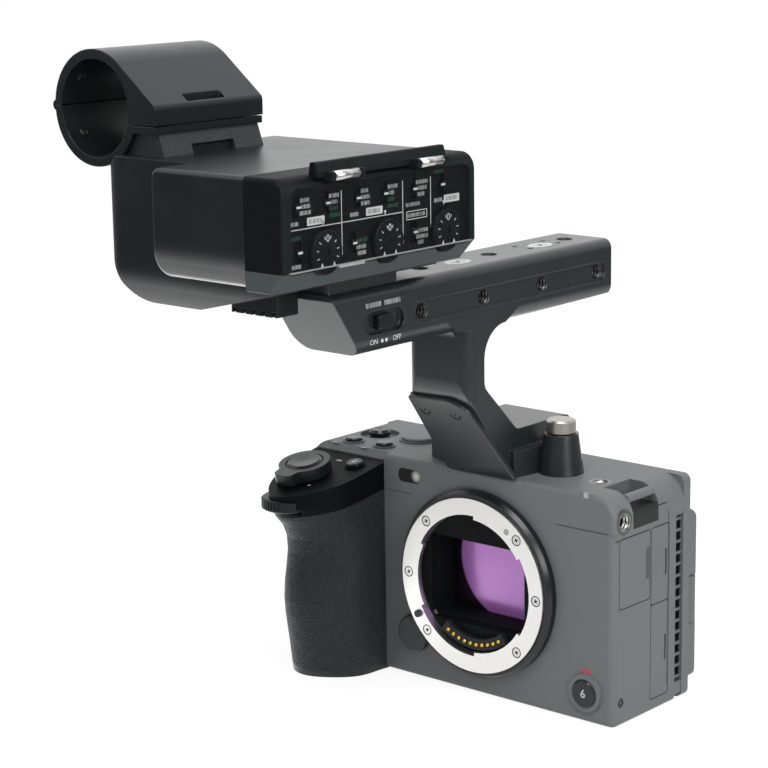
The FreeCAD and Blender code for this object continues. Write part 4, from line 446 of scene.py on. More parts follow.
def sensor_glass(name, base):
    """Coated cover glass over the picture area, with the light through the round throat of the
    mount painted on: a painted pool of light inside a circle, painted shadow outside it, and a
    faint painted glow in the pool.
    """
    made = Finish(name, base, 0.2, coat_weight=0.5, coat_roughness=0.04)
    x, y, z = made.millimetres()
    up = z - AXIS_HEIGHT
    picture = (x * x < PICTURE_HALF[0] ** 2) * (up * up < PICTURE_HALF[1] ** 2)
    # Painted light and shade: the picture inside the circle is coloured as lit, everything else
    # nearly black as painted shadow
    painted_light_pool = made.between(reach(x, z, SENSOR_LIGHT_POOL_CENTRE), 1, 0, SENSOR_LIGHT_POOL_RADIUS - 0.3,
                        SENSOR_LIGHT_POOL_RADIUS + 0.5)
    lit = picture * painted_light_pool
    # The lit colour is darker towards the lower right
    drift = made.between(x - up, 0, 1, -30, 24)
    return made.set(
        # A faint painted glow: emission in the lit pool
        emission_strength=0.1, emission_color=made.tones(lit, 0, 0.9),
        base_color=made.blend(lit, shade(base, 0.015), made.tones(drift, 1, 0.8)),
        metallic=lit * 0.35, roughness=made.between(made.noise(45), 0.16, 0.3))


def tally_glass(name, base):
    """Smoked window with a pale round spot at one end."""
    made = Finish(name, base, 0.16, coat_weight=0.6)
    x, y, z = made.millimetres()
    haze = made.noise(500)
    # A pale round spot in the base colour at one end of the window
    glow = made.between(reach(x, z, TALLY_PALE_SPOT), 1, 0, 0.6, 2.4)
    return made.set(base_color=made.blend(glow, made.tones(haze, 0.7, 1), colour("c4c4be")),
                    roughness=made.between(haze, 0.12, 0.22))


def panelled(name, base):
    """Control panel: a smooth black frame, a darker printed floor, and the shelf below painted grey
    as a painted reflection of the light from below.
    """
    made = Finish(name, base, 0.5, 0.1)
    x, y, z = made.millimetres()
    smear = made.noise(60, 4, 0.6)
    tone = made.blend(x < PANEL_FACE + 0.4, made.tones(smear, 0.8, 1), shade(base, 0.42))
    return made.set(
        # Painted reflection: grey below SHELF_TOP
        base_color=made.blend(z < SHELF_TOP, tone, colour("43494a")),
        roughness=made.between(smear, 0.46, 0.6),
        normal=made.bump(made.cells(2100), 0.01, normal=made.rounded(0.4)))


def clear_plastic(name, base):
    """Clear moulded cover: nearly unseen from the front, glossy at a glance."""
    made = Finish(name, base, 0.06, ior=1.49)
    haze = made.noise(120)
    return made.set(alpha=made.between(haze, 0.05, 0.08), roughness=made.between(haze, 0.04, 0.1))


def circuit_board(name, base):
    """Green board with paler tracks."""
    made = Finish(name, base, 0.4)
    tracks = made.cells(900, "DISTANCE_TO_EDGE")
    return made.set(base_color=made.blend(tracks < 0.06, base, colour("2f7d45")),
                    normal=made.bump(tracks, 0.03, 0.5))


# Each finish with its maker, its colour (a hex code or the name of a setting) and the maker's
# further sizes, such as roughness, gloss, depth and pitch of the grain, and softness of edges

FINISHES = dict(
    painted_body=(paint, "body_grey"),
    # painted_top: body paint with painted shade inside the strap slot and the air vent
    painted_top=(paint, "body_grey", 0.5, 0.35, 0.012, 0.25, shaded_hollow),
    painted_handle=(paint, "handle_black", 0.28, 0.75, 0.008, 0.6),
    dark_plastic=(moulded, "1b2021", 0.46),
    grip_plastic=(moulded, "141a1b", 0.34, 0.35, 0.006, 2400, 0.3),
    box_plastic=(moulded, "box_black", 0.32, 0.5, 0.006, 2100, 0.5, rolled_under_painted_sheen),
    grip_shell=(moulded, "080b0c", 0.5, 0.08, 0.01, 2400, 0.3),
    release_grey=(moulded, "3a3f40", 0.5, 0.3, 0.01, 2200, 0.3),
    gloss_black=(moulded, "14191b", 0.26, 0.45, 0.004, 2500, 0.25),
    knurled_black=(moulded, "14191a", 0.42, 0.35, 0.02, 1800, 0.12),
    dial_black=(moulded, "0b0f10", 0.5, 0.15, 0.01, 2000, 0.12),
    matte_black=(moulded, "080c0e", 0.7, 0.15, 0.02, 1600, 0.15),
    screen_glass=(moulded, "0b0d10", 0.1, 0.5, 0.001, 400, 0.2, None,
                  {"coat_weight": 0.8, "coat_roughness": 0.02}),
    textured_plastic=(leathered, "303637", 0.5, 1500, 0.09),
    grip_rubber=(leathered, "grip_black", 0.58, 900, 0.15, 0.38),
    panel_black=(panelled, "171d1e"),
    sensor_glass=(sensor_glass, "sensor_purple"),
    tally_lens=(tally_glass, "2c2d2c"),
    circuit_board=(circuit_board, "0d4b2c"),
    mount_steel=(brushed, "f6f5f1", 0.34, (0, AXIS_HEIGHT)),
    knob_aluminium=(brushed, "bab8ae", 0.34, KNOB_PLACE, "Z"),
    contact_brass=(plain_metal, "e8bc4c", 0.24),
    insert_steel=(plain_metal, "686a68", 0.3),
    dark_steel=(plain_metal, "a9aba9", 0.34),
    bright_steel=(plain_metal, "e4e4e0", 0.26),
    cover_edge=(printed, "8e9291"),
    print_white=(printed, "print_white"),
    print_green=(printed, "print_green"),
    print_red=(printed, "a8454a"),
    print_grey=(printed, "a3a5a3"),
    seam_black=(printed, "23282a"),
)
MATERIALS = {}


def make_materials():
    """Every finish, under its own name."""
    chosen = bpy.context.scene.camera_finishes
    for name, (maker, base, *sizes) in FINISHES.items():
        rgb = getattr(chosen, base)[:] if hasattr(chosen, base) else colour(base)
        MATERIALS[name] = maker(name, rgb, *sizes)
    MATERIALS["clear_cover"] = clear_plastic("clear_cover", (0.03, 0.033, 0.033))
    MATERIALS["print_shadow"] = printed("print_shadow", shade(chosen.body_grey, 0.55))


# Seats for small parts, in metres and with X across, Y up and Z out of the surface

def spot(x, y, z):
    return Vector((x * MM, y * MM, z * MM))


def seat(origin, across, up):
    """A seat from an origin in millimetres and two directions."""
    u = Vector(across).normalized()
    v = Vector(up).normalized()
    turn = Matrix((u, v, u.cross(v))).transposed().to_4x4()
    return Matrix.Translation(spot(*origin)) @ turn @ Matrix.Scale(MM, 4)


def on_front(x, z, y=CASE_FRONT):
    return seat((x, y, z), (1, 0, 0), (0, 0, 1))


def on_right(y, z, x=CASE_RIGHT):
    return seat((x, y, z), (0, 1, 0), (0, 0, 1))


def on_top(x, y, z=CASE_TOP):
    return seat((x, y, z), (1, 0, 0), (0, 1, 0))


def on_back(x, z, y=REST_BACK):
    return seat((x, y, z), (-1, 0, 0), (0, 0, 1))


def on_slope(x, y, up=0.0):
    """A seat on the sloping top of the grip, with a height square to it."""
    base = Vector((x, y, GRIP_HIGH + (y + 12.0) * GRIP_RISE))
    return seat(base + Vector((0, -GRIP_RISE, 1)).normalized() * up, (1, 0, 0), (0, 1, GRIP_RISE))


def on_foot(x, z):
    """A seat on the slanted cover plate of the handle's foot."""
    run, rise = PLATE_HIGH[0] - PLATE_LOW[0], PLATE_HIGH[1] - PLATE_LOW[1]
    y = PLATE_LOW[0] + (z - PLATE_LOW[1]) * run / rise
    return seat(Vector((x, y, z)), (1, 0, 0), (0, run, rise))


def pad_seat(angle, y):
    """A seat on the inside of the microphone holder, facing its axis."""
    turn = math.radians(angle)
    across, up = -math.cos(turn), -math.sin(turn)
    x, z = MIC_AXIS
    return seat((x - MIC_PAD_REACH * across, y, z - MIC_PAD_REACH * up), (0, 1, 0),
                Vector((across, 0, up)).cross((0, 1, 0)))


# Shapes

def around(radius, degrees, x=0.0, y=0.0):
    angle = math.radians(degrees)
    return x + radius * math.cos(angle), y + radius * math.sin(angle)


def round_corners(low_x, high_x, low_y, high_y, radius, steps=5):
    """An outline with rounded corners, anticlockwise from the lower right."""
    centres = [(high_x - radius, low_y + radius, -90), (high_x - radius, high_y - radius, 0),
               (low_x + radius, high_y - radius, 90), (low_x + radius, low_y + radius, 180)]
    return [around(radius, first + 90 * i / steps, x, y)
            for x, y, first in centres for i in range(steps + 1)]


class Shape:
    """A mesh being built in millimetres on seats, finished as one object."""

    def __init__(self, name):
        self.name = name
        self.mesh = bmesh.new()

    def joined(self, place, sections, whole=True):
        """Faces from each section of points to the next, round to the first if whole."""
        spots = [[self.mesh.verts.new(place @ Vector(p)) for p in part] for part in sections]
        steps = len(sections)
        for i in range(steps if whole else steps - 1):
            a, b = spots[i], spots[(i + 1) % steps]
            for k, m in enumerate((*range(1, len(a)), 0)):
                self.mesh.faces.new((a[k], b[k], b[m], a[m]))
        if not whole:
            self.mesh.faces.new(spots[0])
            self.mesh.faces.new(reversed(spots[-1]))
        return self

    def plate(self, place, outline, low=0, high=0.04, smaller=0):
        """A flat prism over an outline of (across, up) points, drawn in by a bevel at its top."""
        middle = [sum(p[i] for p in outline) / len(outline) for i in (0, 1)]
        top = [(*(middle[i] + (p[i] - middle[i]) * (1 - smaller) for i in (0, 1)), high)
               for p in outline]
        return self.joined(place, [[(*p, low) for p in outline], top], False)

    def bar(self, place, x, y, wide, tall, low=0, high=0.04, lean=0):
        cos, sin = math.cos(lean), math.sin(lean)
        corners = [(a * wide / 2, b * tall / 2) for a, b in ((-1, -1), (1, -1), (1, 1), (-1, 1))]
        return self.plate(
            place, [(x + a * cos - b * sin, y + a * sin + b * cos) for a, b in corners], low, high)

    def disc(self, place, x, y, radius, low=0, high=0.04, count=32):
        return self.plate(place, [around(radius, 360 * i / count, x, y) for i in range(count)],
                          low, high)

    def turned(self, place, profile, x=0, y=0, count=48, sweep=360, start=0):
        """A closed profile of (radius, height) points carried round the seat's normal."""
        whole = sweep >= 360
        return self.joined(place, [
            [(*around(r, start + sweep * i / count, x, y), h) for r, h in profile]
            for i in range(count if whole else count + 1)], whole)

    def frame(self, place, outline, inner, low=0, high=0.04):
        """A flat band between two outlines of equal length."""
        return self.joined(place, [[(*a, low), (*b, low), (*b, high), (*a, high)]
                                   for a, b in zip(outline, inner)])

    def done(self, finish, body="camera", smooth=False):
        """Close the mesh, give it its finish and let it ride on a body."""
        bmesh.ops.remove_doubles(self.mesh, verts=self.mesh.verts, dist=1e-7)
        bmesh.ops.recalc_face_normals(self.mesh, faces=self.mesh.faces)
        data = bpy.data.meshes.new(self.name)
        self.mesh.to_mesh(data)
        self.mesh.free()
        settle(self.name, data, body, finish, smooth)


def bars(name, finish, *rows, body="camera"):
    """One piece of bars, each row a seat and the sizes that a bar takes."""
    made = Shape(name)
    for row in rows:
        made.bar(*row)
    made.done(finish, body)


def lathed(name, body, finish, seats, profile, count=48):
    """One smooth piece with a turned part on each seat."""
    made = Shape(name)
    for place in seats:
        made.turned(place, profile, count=count)
    made.done(finish, body, True)


def settle(name, data, body, finish, smooth=False):
    """Turn mesh data into a finished object on a body."""
    data.materials.clear()
    data.materials.append(MATERIALS[finish])
    if smooth:
        data.shade_smooth()
    made = bpy.data.objects.new(name, data)
    bpy.context.scene.collection.objects.link(made)
    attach(made, body)


def keep_mesh(name, source, place, body, finish, smooth=False):
    """Evaluate an object once, and keep its mesh on a seat as a piece of a body."""
    bpy.context.scene.collection.objects.link(source)
    depsgraph = bpy.context.evaluated_depsgraph_get()
    data = bpy.data.meshes.new_from_object(source.evaluated_get(depsgraph))
    bpy.data.objects.remove(source)
    if not data.polygons:
        raise RuntimeError(f"{name} has no faces")
    data.transform(place)
    data.name = name
    settle(name, data, body, finish, smooth)


def sign(name, words, place, height, body, finish):
    """Plain figures or a switch word as a thin mesh on a seat."""
    text = bpy.data.curves.new(name, "FONT")
    text.body = words
    text.size = height / 0.7
    text.align_x = text.align_y = "CENTER"
    text.extrude = 0.025
    text.resolution_u = 3
    keep_mesh(name, bpy.data.objects.new(name + "_curve", text), place, body, finish)


# Geometry node trees for what repeats

class Growth(Nodes):
    """A node tree that sets out repeated parts, with named inputs for its sizes."""

    KINDS = {int: "Int", float: "Float", tuple: "Vector"}

    def __init__(self, name, **inputs):
        super().__init__(bpy.data.node_groups.new(name, "GeometryNodeTree"))
        self.tree.interface.new_socket("Geometry", in_out="OUTPUT",
                                       socket_type="NodeSocketGeometry")
        self.names = {}
        self.entry("rows", "Geometry")
        for label, value in inputs.items():
            self.entry(label, self.KINDS[type(value)]).default_value = value
        self.entry("finish", "Material")
        self.start = self.tree.nodes.new("NodeGroupInput")
        self.end = self.tree.nodes.new("NodeGroupOutput")

    def entry(self, label, kind):
        made = self.tree.interface.new_socket(label, in_out="INPUT",
                                              socket_type="NodeSocket" + kind)
        self.names[label] = made.identifier
        return made

    def input(self, label):
        return Value(self, self.start.outputs[label])

    def close(self, points, part, **placing):
        """Set a part out on points, realise the copies and give them the finish."""
        inputs = {"Points": points, "Instance": part, **placing}
        copies = self.node("GeometryNodeInstanceOnPoints", inputs)
        real = self.node("GeometryNodeRealizeInstances", {"Geometry": copies})
        self.feed(self.end.inputs[0], self.node(
            "GeometryNodeSetMaterial", {"Geometry": real, "Material": self.input("finish")}))
        return self

    def grow(self, name, place, body, finish, smooth=False, rows=(), **values):
        """Set the inputs, evaluate once, and keep the result as a plain mesh on its seat.

        Rows, where the tree takes them, are (across, up, strokes)."""
        start = bpy.data.meshes.new(name + "_seed")
        if rows:
            start.from_pydata([(x, y, 0.0) for x, y, _ in rows], [], [])
            strokes = start.attributes.new("strokes", "INT", "POINT")
            strokes.data.foreach_set("value", [count for *_, count in rows])
        holder = bpy.data.objects.new(name + "_growth", start)
        modifier = holder.modifiers.new("growth", "NODES")
        modifier.node_group = self.tree
        for label, value in values.items():
            modifier[self.names[label]] = value
        modifier[self.names["finish"]] = MATERIALS[finish]
        keep_mesh(name, holder, place, body, finish, smooth)


def on_circle(tree):
    """Points set round a circle, and the angle at each."""
    line = tree.node("GeometryNodeMeshLine", {"Count": tree.input("count")})
    turned = tree.node("GeometryNodeInputIndex") * tree.input("step_angle")
    angle = tree.sum("RADIANS", tree.input("first_angle") + turned)
    across = tree.sum("COSINE", angle) * tree.input("radius")
    up = tree.sum("SINE", angle) * tree.input("radius")
    where = tree.vector(X=across, Y=up, Z=tree.input("lift"))
    return tree.node("GeometryNodeSetPosition", {"Geometry": line, "Position": where}), angle


def ring_tree():
    """Bars set round a circle, each pointing outwards, over a chosen sweep."""
    tree = Growth("bars_round_a_circle", count=12, radius=5.0, first_angle=0.0, step_angle=30.0,
                  bar_size=(1.0, 0.3, 0.1), lift=0.0)
    points, angle = on_circle(tree)
    bar = tree.node("GeometryNodeMeshCube", {"Size": tree.input("bar_size")})
    return tree.close(points, bar, Rotation=tree.vector(Z=angle))


def pin_tree():
    """Round-headed pins set on an arc."""
    tree = Growth("pins_on_an_arc", count=12, radius=20.0, first_angle=0.0, step_angle=6.0,
                  pin_radius=0.5, pin_tall=0.5, lift=0.0)
    points, _ = on_circle(tree)
    dome = tree.node("GeometryNodeMeshUVSphere", {
        "Segments": 16, "Rings": 8, "Radius": tree.input("pin_radius")})
    tall = tree.sum("DIVIDE", tree.input("pin_tall"), tree.input("pin_radius"))
    stretch = tree.vector(X=1.0, Y=1.0, Z=tall)
    return tree.close(points, tree.node("GeometryNodeTransform", {
        "Geometry": dome, "Scale": stretch}))


def strokes_tree():
    """Short upright strokes of uneven width in rows, as fine print looks from a distance."""
    tree = Growth("print_strokes", pitch=0.5, tall=1.1, narrow=0.16, wide=0.4, raise_by=0.04,
                  seed=1)
    strokes = tree.node("GeometryNodeInputNamedAttribute", {"Name": "strokes"}, data_type="INT")
    copies = tree.node("GeometryNodeDuplicateElements", {
        "Geometry": tree.input("rows"), "Amount": strokes}, domain="POINT")
    shift = tree.vector(X=copies.other("Duplicate Index") * tree.input("pitch"))
    points = tree.node("GeometryNodeSetPosition", {"Geometry": copies, "Offset": shift})
    width = tree.node("FunctionNodeRandomValue", {
        2: tree.input("narrow"), 3: tree.input("wide"), "Seed": tree.input("seed"),
        "ID": tree.node("GeometryNodeInputIndex")}, 1, data_type="FLOAT")
    size = tree.vector(X=width, Y=tree.input("tall"), Z=tree.input("raise_by"))
    bar = tree.node("GeometryNodeMeshCube", {"Size": (1.0, 1.0, 1.0)})
    return tree.close(points, bar, Scale=size)


TREES = {}


def dress(**finishes):
    """Give CAD nodes their finishes, listed by finish."""
    for finish, names in finishes.items():
        for name in names.split():
            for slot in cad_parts[name].material_slots:
                slot.material = MATERIALS[finish]


def fine_print(name, place, rows, finish, tall=1.15):
    """Rows of generic strokes that stand for small print, each row (along, up, long)."""
    pitch = bpy.context.scene.camera_details.stroke_pitch
    counted = [(along, up, max(2, round(long / pitch))) for along, up, long in rows]
    TREES["strokes"].grow(name, place, "camera", finish, rows=counted, pitch=pitch, tall=tall,
                          narrow=0.1, wide=0.25, raise_by=0.06, seed=7)


def teeth(name, place, body, finish, count, radius, size, first=0.0, step=0.0):
    """Bars set round a wheel, knob or dial, and all round it where no step is given."""
    TREES["ring"].grow(name, place, body, finish, count=count, radius=radius, first_angle=first,
                       step_angle=step or 360.0 / count, bar_size=size, lift=0.0)


def threaded(name, seats, deep, finish):
    """Turns of thread in from the walls of drilled holes, and a chamfer round each mouth."""
    def ring(place, *profile):
        turns.turned(place, [(THREAD_RADIUS + out, height) for out, height in profile], count=40)

    turns = Shape(name)
    for place in seats:
        ring(place, (-0.05, -0.25), (0.02, -0.25), (0.42, 0.03), (0.36, 0.05))
        for index in range(int(deep / THREAD_PITCH)):
            height = -0.9 - index * THREAD_PITCH
            ring(place, (-0.01, height - 0.5), (-0.01, height + 0.5), (-0.34, height))
    turns.done(finish)


# Print of the control panel, each row as (along, up, long) with along at its front end

WORD_ROWS = (
    (-122.2, 181.3, 3.8), (-121.8, 179.5, 4), (-122.6, 177.7, 5), (-110.4, 181.3, 4.2),
    (-109.4, 179.5, 2.8), (-126.8, 174.9, 3.9), (-127.2, 162.8, 4.9), (-96.8, 181.3, 3.4),
    (-97.2, 179.5, 4.4), (-96.8, 177.7, 4), (-85, 181.3, 4.4), (-84.9, 179.5, 2.9),
    (-101.6, 174.9, 3.8), (-99.1, 165.3, 4.4), (-98.6, 163.5, 3.9), (-72.4, 181.3, 5.3),
    (-72.3, 179.5, 5), (-71.8, 177.7, 3.1), (-77.1, 175, 6.5), (-72.5, 166.9, 5.2),
    (-72.5, 165.1, 5.2), (-71.9, 163.4, 2.8), (-64.1, 175, 3.9), (-76.4, 171.8, 8.2))
GREEN_ROWS = (
    (-110.3, 177.7, 3.8), (-110.2, 175.8, 4.2), (-127.2, 170.8, 5), (-85.3, 177.6, 3.5),
    (-85.2, 175.7, 4.6), (-98.6, 167.2, 4.1), (-64, 183.5, 4.5))
NUMBER_PLATES = ((-116.2, 175), (-91.3, 175), (-56.2, 175))
BOXED_WORD = (-77.1, -67.7, 170.5, 173.1)
SWITCH_PLACES = (
    (-124, 179.6), (-111.8, 179.6), (-98.9, 179.6), (-86.9, 179.6), (-73.9, 179.6),
    (-61.1, 179.6), (-123.7, 166.8), (-100.8, 166.8), (-73.9, 166.8))

# Rows of print below or above the round buttons of the back, by the middle of each

REAR_WORDS = ((-33.5, 62.2), (-49, 62.2), (-33.5, 42.3), (-33.5, 25.5), (-49, 12.3),
              (-62.5, 12.3))


# Operators, one for each group of parts

class CAMERA_OT_prepare(bpy.types.Operator):
    """Make the finishes and the node trees that the other steps use"""
    bl_idname = "camera.prepare"
    bl_label = "Prepare finishes"

    def execute(self, context):
        make_materials()
        TREES.update(ring=ring_tree(), pins=pin_tree(), strokes=strokes_tree())
        return {"FINISHED"}


class CAMERA_OT_casing(bpy.types.Operator):
    """Dress the casing and its doors, and add seams, threads, screw heads and marks"""
    bl_idname = "camera.casing"
    bl_label = "Casing"

    def execute(self, context):
        dress(painted_body="front_cover audio_door hdmi_door usb_door record_button",
              painted_top="top_cover rear_cover", dark_plastic="bottom_plate fan_housing",
              matte_black="fan_rotor", tally_lens="tally_window", circuit_board="main_board",
              insert_steel="thread_inserts", bright_steel="screws", gloss_black="battery")
        front, right, top = on_front(0, 0), on_right(0, 0), on_top(0, 0)
        bars("casing_seams", "seam_black", *((*row, -0.1, 0.03) for row in (
            (front, 42.6, SEAM_HEIGHT, 20, 0.3), (front, -35.2, SEAM_HEIGHT, 11.4, 0.22),
            (right, -3.6, 62.8, 18.4, 0.34), (right, 13.3, 69.9, 4.6, 0.34),
            (right, 16.7, 37, 0.3, 60))))
        # Painted shade: a flat pill of darker paint laid over the finger rest's recess
        rest = round_corners(4.1, 6.6, 46.5, 57.1, 1.2)
        Shape("door_finger_rest").plate(right, rest, -0.1).done("print_shadow", "audio_door")
        threaded("casing_threads", [on_right(-8.2, 68.2), on_top(38, 2.3)], 3.6, "bright_steel")
        marks = Shape("casing_marks")
        marks.bar(top, -66.9, -10.4, 2.2, 0.9).bar(top, -53.8, -10.2, 2.6, 0.9)
        marks.bar(on_slope(-58.4, -17.8), 0, 0, 2.4, 0.9)
        for x, y in ((-66.3, -40), (-54.5, -37.4)):
            marks.disc(on_slope(x, y), 0, 0, 0.55, count=16)
        marks.bar(front, 43.9, 76.5, 1.8, 1.9, 0, 0.05).done("print_grey")
        bars("record_mark", "print_red", (front, 44.4, 17.6, 3.6, 1.5))
        sign("record_figure", "6", on_front(*RECORD_PLACE, CASE_FRONT - 1.53), 2.9,
             "front_record_button", "print_white")
        lathed("record_rims", "camera", "painted_body", [on_front(*RECORD_PLACE)],
               [(6.35, 0), (6.75, 0), (6.6, 0.22), (6.4, 0.22)])
        lathed("side_screw", "camera", "seam_black", [on_right(-9.6, 8.1)],
               [(0.62, 0.02), (1.5, 0.02), (1.35, 0.22), (0.62, 0.22)], 24)
        return {"FINISHED"}


class CAMERA_OT_mount(bpy.types.Operator):
    """Dress the lens mount and add painted shade on its screws (dark crosses and rings), contact
    pins and index mark
    """
    bl_idname = "camera.mount"
    bl_label = "Lens mount"

    def execute(self, context):
        pins = context.scene.camera_details.pins
        dress(mount_steel="lens_mount_ring", gloss_black="mount_collar",
              release_grey="lens_release", dark_plastic="contact_block", matte_black="light_box",
              sensor_glass="sensor")
        face = on_front(0, AXIS_HEIGHT, FLANGE_FRONT)
        slots, shadows = Shape("mount_screw_slots"), Shape("mount_screw_rims")
        for angle in (0, 45, 135, 180, 225, 315):
            x, y = around(SCREW_CIRCLE, angle)
            # Dark crosses that draw the screws' recesses; their darkness is painted shade
            for lean in (0.4, 0.4 + math.pi / 2):
                slots.bar(face, x, y, 1.5, 0.36, -0.4, 0.02, lean)
            # Painted shade: a thin dark ring round each screw head
            shadows.turned(face, [(1.5, 0), (1.86, 0), (1.8, 0.05), (1.56, 0.05)], x, y, 32)
        slots.done("matte_black")
        shadows.done("seam_black")
        Shape("mount_index").disc(face, 15.1, 21.3, 1.1).done("print_grey")
        TREES["pins"].grow(
            "contact_pins", on_front(0.0, AXIS_HEIGHT, PIN_FRONT), "camera", "contact_brass", True,
            count=pins, radius=20.5, first_angle=-90.0 - PIN_SWEEP / 2,
            step_angle=PIN_SWEEP / (pins - 1), pin_radius=0.7, pin_tall=0.6, lift=0.1)
        return {"FINISHED"}


class CAMERA_OT_grip(bpy.types.Operator):
    """Dress the grip, its rubber skin and the controls on and near it"""
    bl_idname = "camera.grip"
    bl_label = "Grip and controls"

    def execute(self, context):
        detail = context.scene.camera_details
        dress(grip_plastic="grip_body zoom_lever", grip_shell="grip_top",
              dark_plastic="battery_door", grip_rubber="grip_skin", matte_black="rear_buttons",
              gloss_black="shutter_button grip_button left_button right_button "
                          "front_record_button control_stick",
              knurled_black="front_dial rear_wheel")
        for body, what, place, count, radius, size in (
                ("front_dial", "teeth", on_top(-61.4, -39.6, 62.6), detail.front_dial_ribs, 9.6,
                 (0.5, 0.62, 3.2)),
                ("rear_wheel", "teeth", on_back(*WHEEL_PLACE, REST_BACK + 0.7), detail.wheel_ribs,
                 9.2, (0.5, 0.55, 1.2)),
                ("control_stick", "ridges", on_top(-62.9, 8.8, CASE_TOP + 0.1), detail.stick_ribs,
                 3.5, (0.7, 0.34, 0.7))):
            teeth(f"{body}_{what}", place, body, "knurled_black", count, radius, size)
        bars("grip_button_tick", "print_white",
             (on_slope(-50.0, -19.0, 1.6), 0, 0, 0.7, 2.2, 0.0, 0.04, -0.3), body="grip_button")
        return {"FINISHED"}


class CAMERA_OT_handle(bpy.types.Operator):
    """Dress the carrying handle and add its threads, plate screws and switch print"""
    bl_idname = "camera.handle"
    bl_label = "Carrying handle"

    def execute(self, context):
        dress(painted_handle="handle_body foot_cover", knob_aluminium="thumb_screw",
              gloss_black="handle_switch")
        threaded("handle_side_threads",
                 [on_right(y, GROOVE_HEIGHT, BAR_RIGHT - 0.9) for y in HANDLE_SIDE_HOLES],
                 HANDLE_THREAD_DEEP, "insert_steel")
        threaded("handle_top_threads", [on_top(-0.9, y, BAR_TOP) for y in HANDLE_TOP_HOLES],
                 HANDLE_THREAD_DEEP, "seam_black")
        heads = Shape("foot_plate_screws")
        for x in (-9.6, 3.2):
            heads.turned(on_foot(x, 100), [(1.7, -0.2), (2.3, -0.2), (2.2, 0.12), (1.8, 0.12)],
                         count=28, sweep=170, start=185)
            heads.disc(on_foot(x, 100), 0, 0, 0.35, high=0.1, count=14)
        heads.done("matte_black")
        ovals, marks = Shape("handle_top_ovals"), Shape("handle_top_marks")
        for y in (-24.2, 19.3):
            place = on_top(0.6, y, BAR_TOP)
            circle = [around(1, angle) for angle in range(0, 360, 12)]
            ovals.plate(place, [(3.4 * across, 5.4 * up) for across, up in circle])
            for lean, shift in ((0.5, -1.7), (-0.5, 0), (0.5, 1.7)):
                marks.bar(place, 0, shift, 3.2, 0.55, 0.04, 0.08, lean)
        ovals.done("print_white")
        marks.done("seam_black")
        side = on_right(0, 0, BAR_RIGHT)
        fine_print("handle_switch_words", side, ((-80.8, 143.9, 7.2), (-72.4, 143.9, 7.6)),
                   "print_white", 1.5)
        for words, y in (("ON", -77.6), ("OFF", -67)):
            sign(f"handle_switch_{words.lower()}", words, on_right(y, SWITCH_WORDS, BAR_RIGHT),
                 1.6, "camera", "print_white")
        dots = Shape("handle_switch_dots")
        for y in (-73.8, -71.9):
            dots.disc(side, y, SWITCH_WORDS, 0.6, count=16)
        dots.done("print_white")
        bars("handle_switch_tick", "print_white",
             (on_right(-72.6, 138.2, BAR_RIGHT - 0.78), 0, 0, 0.6, 2.2), body="handle_switch")
        return {"FINISHED"}


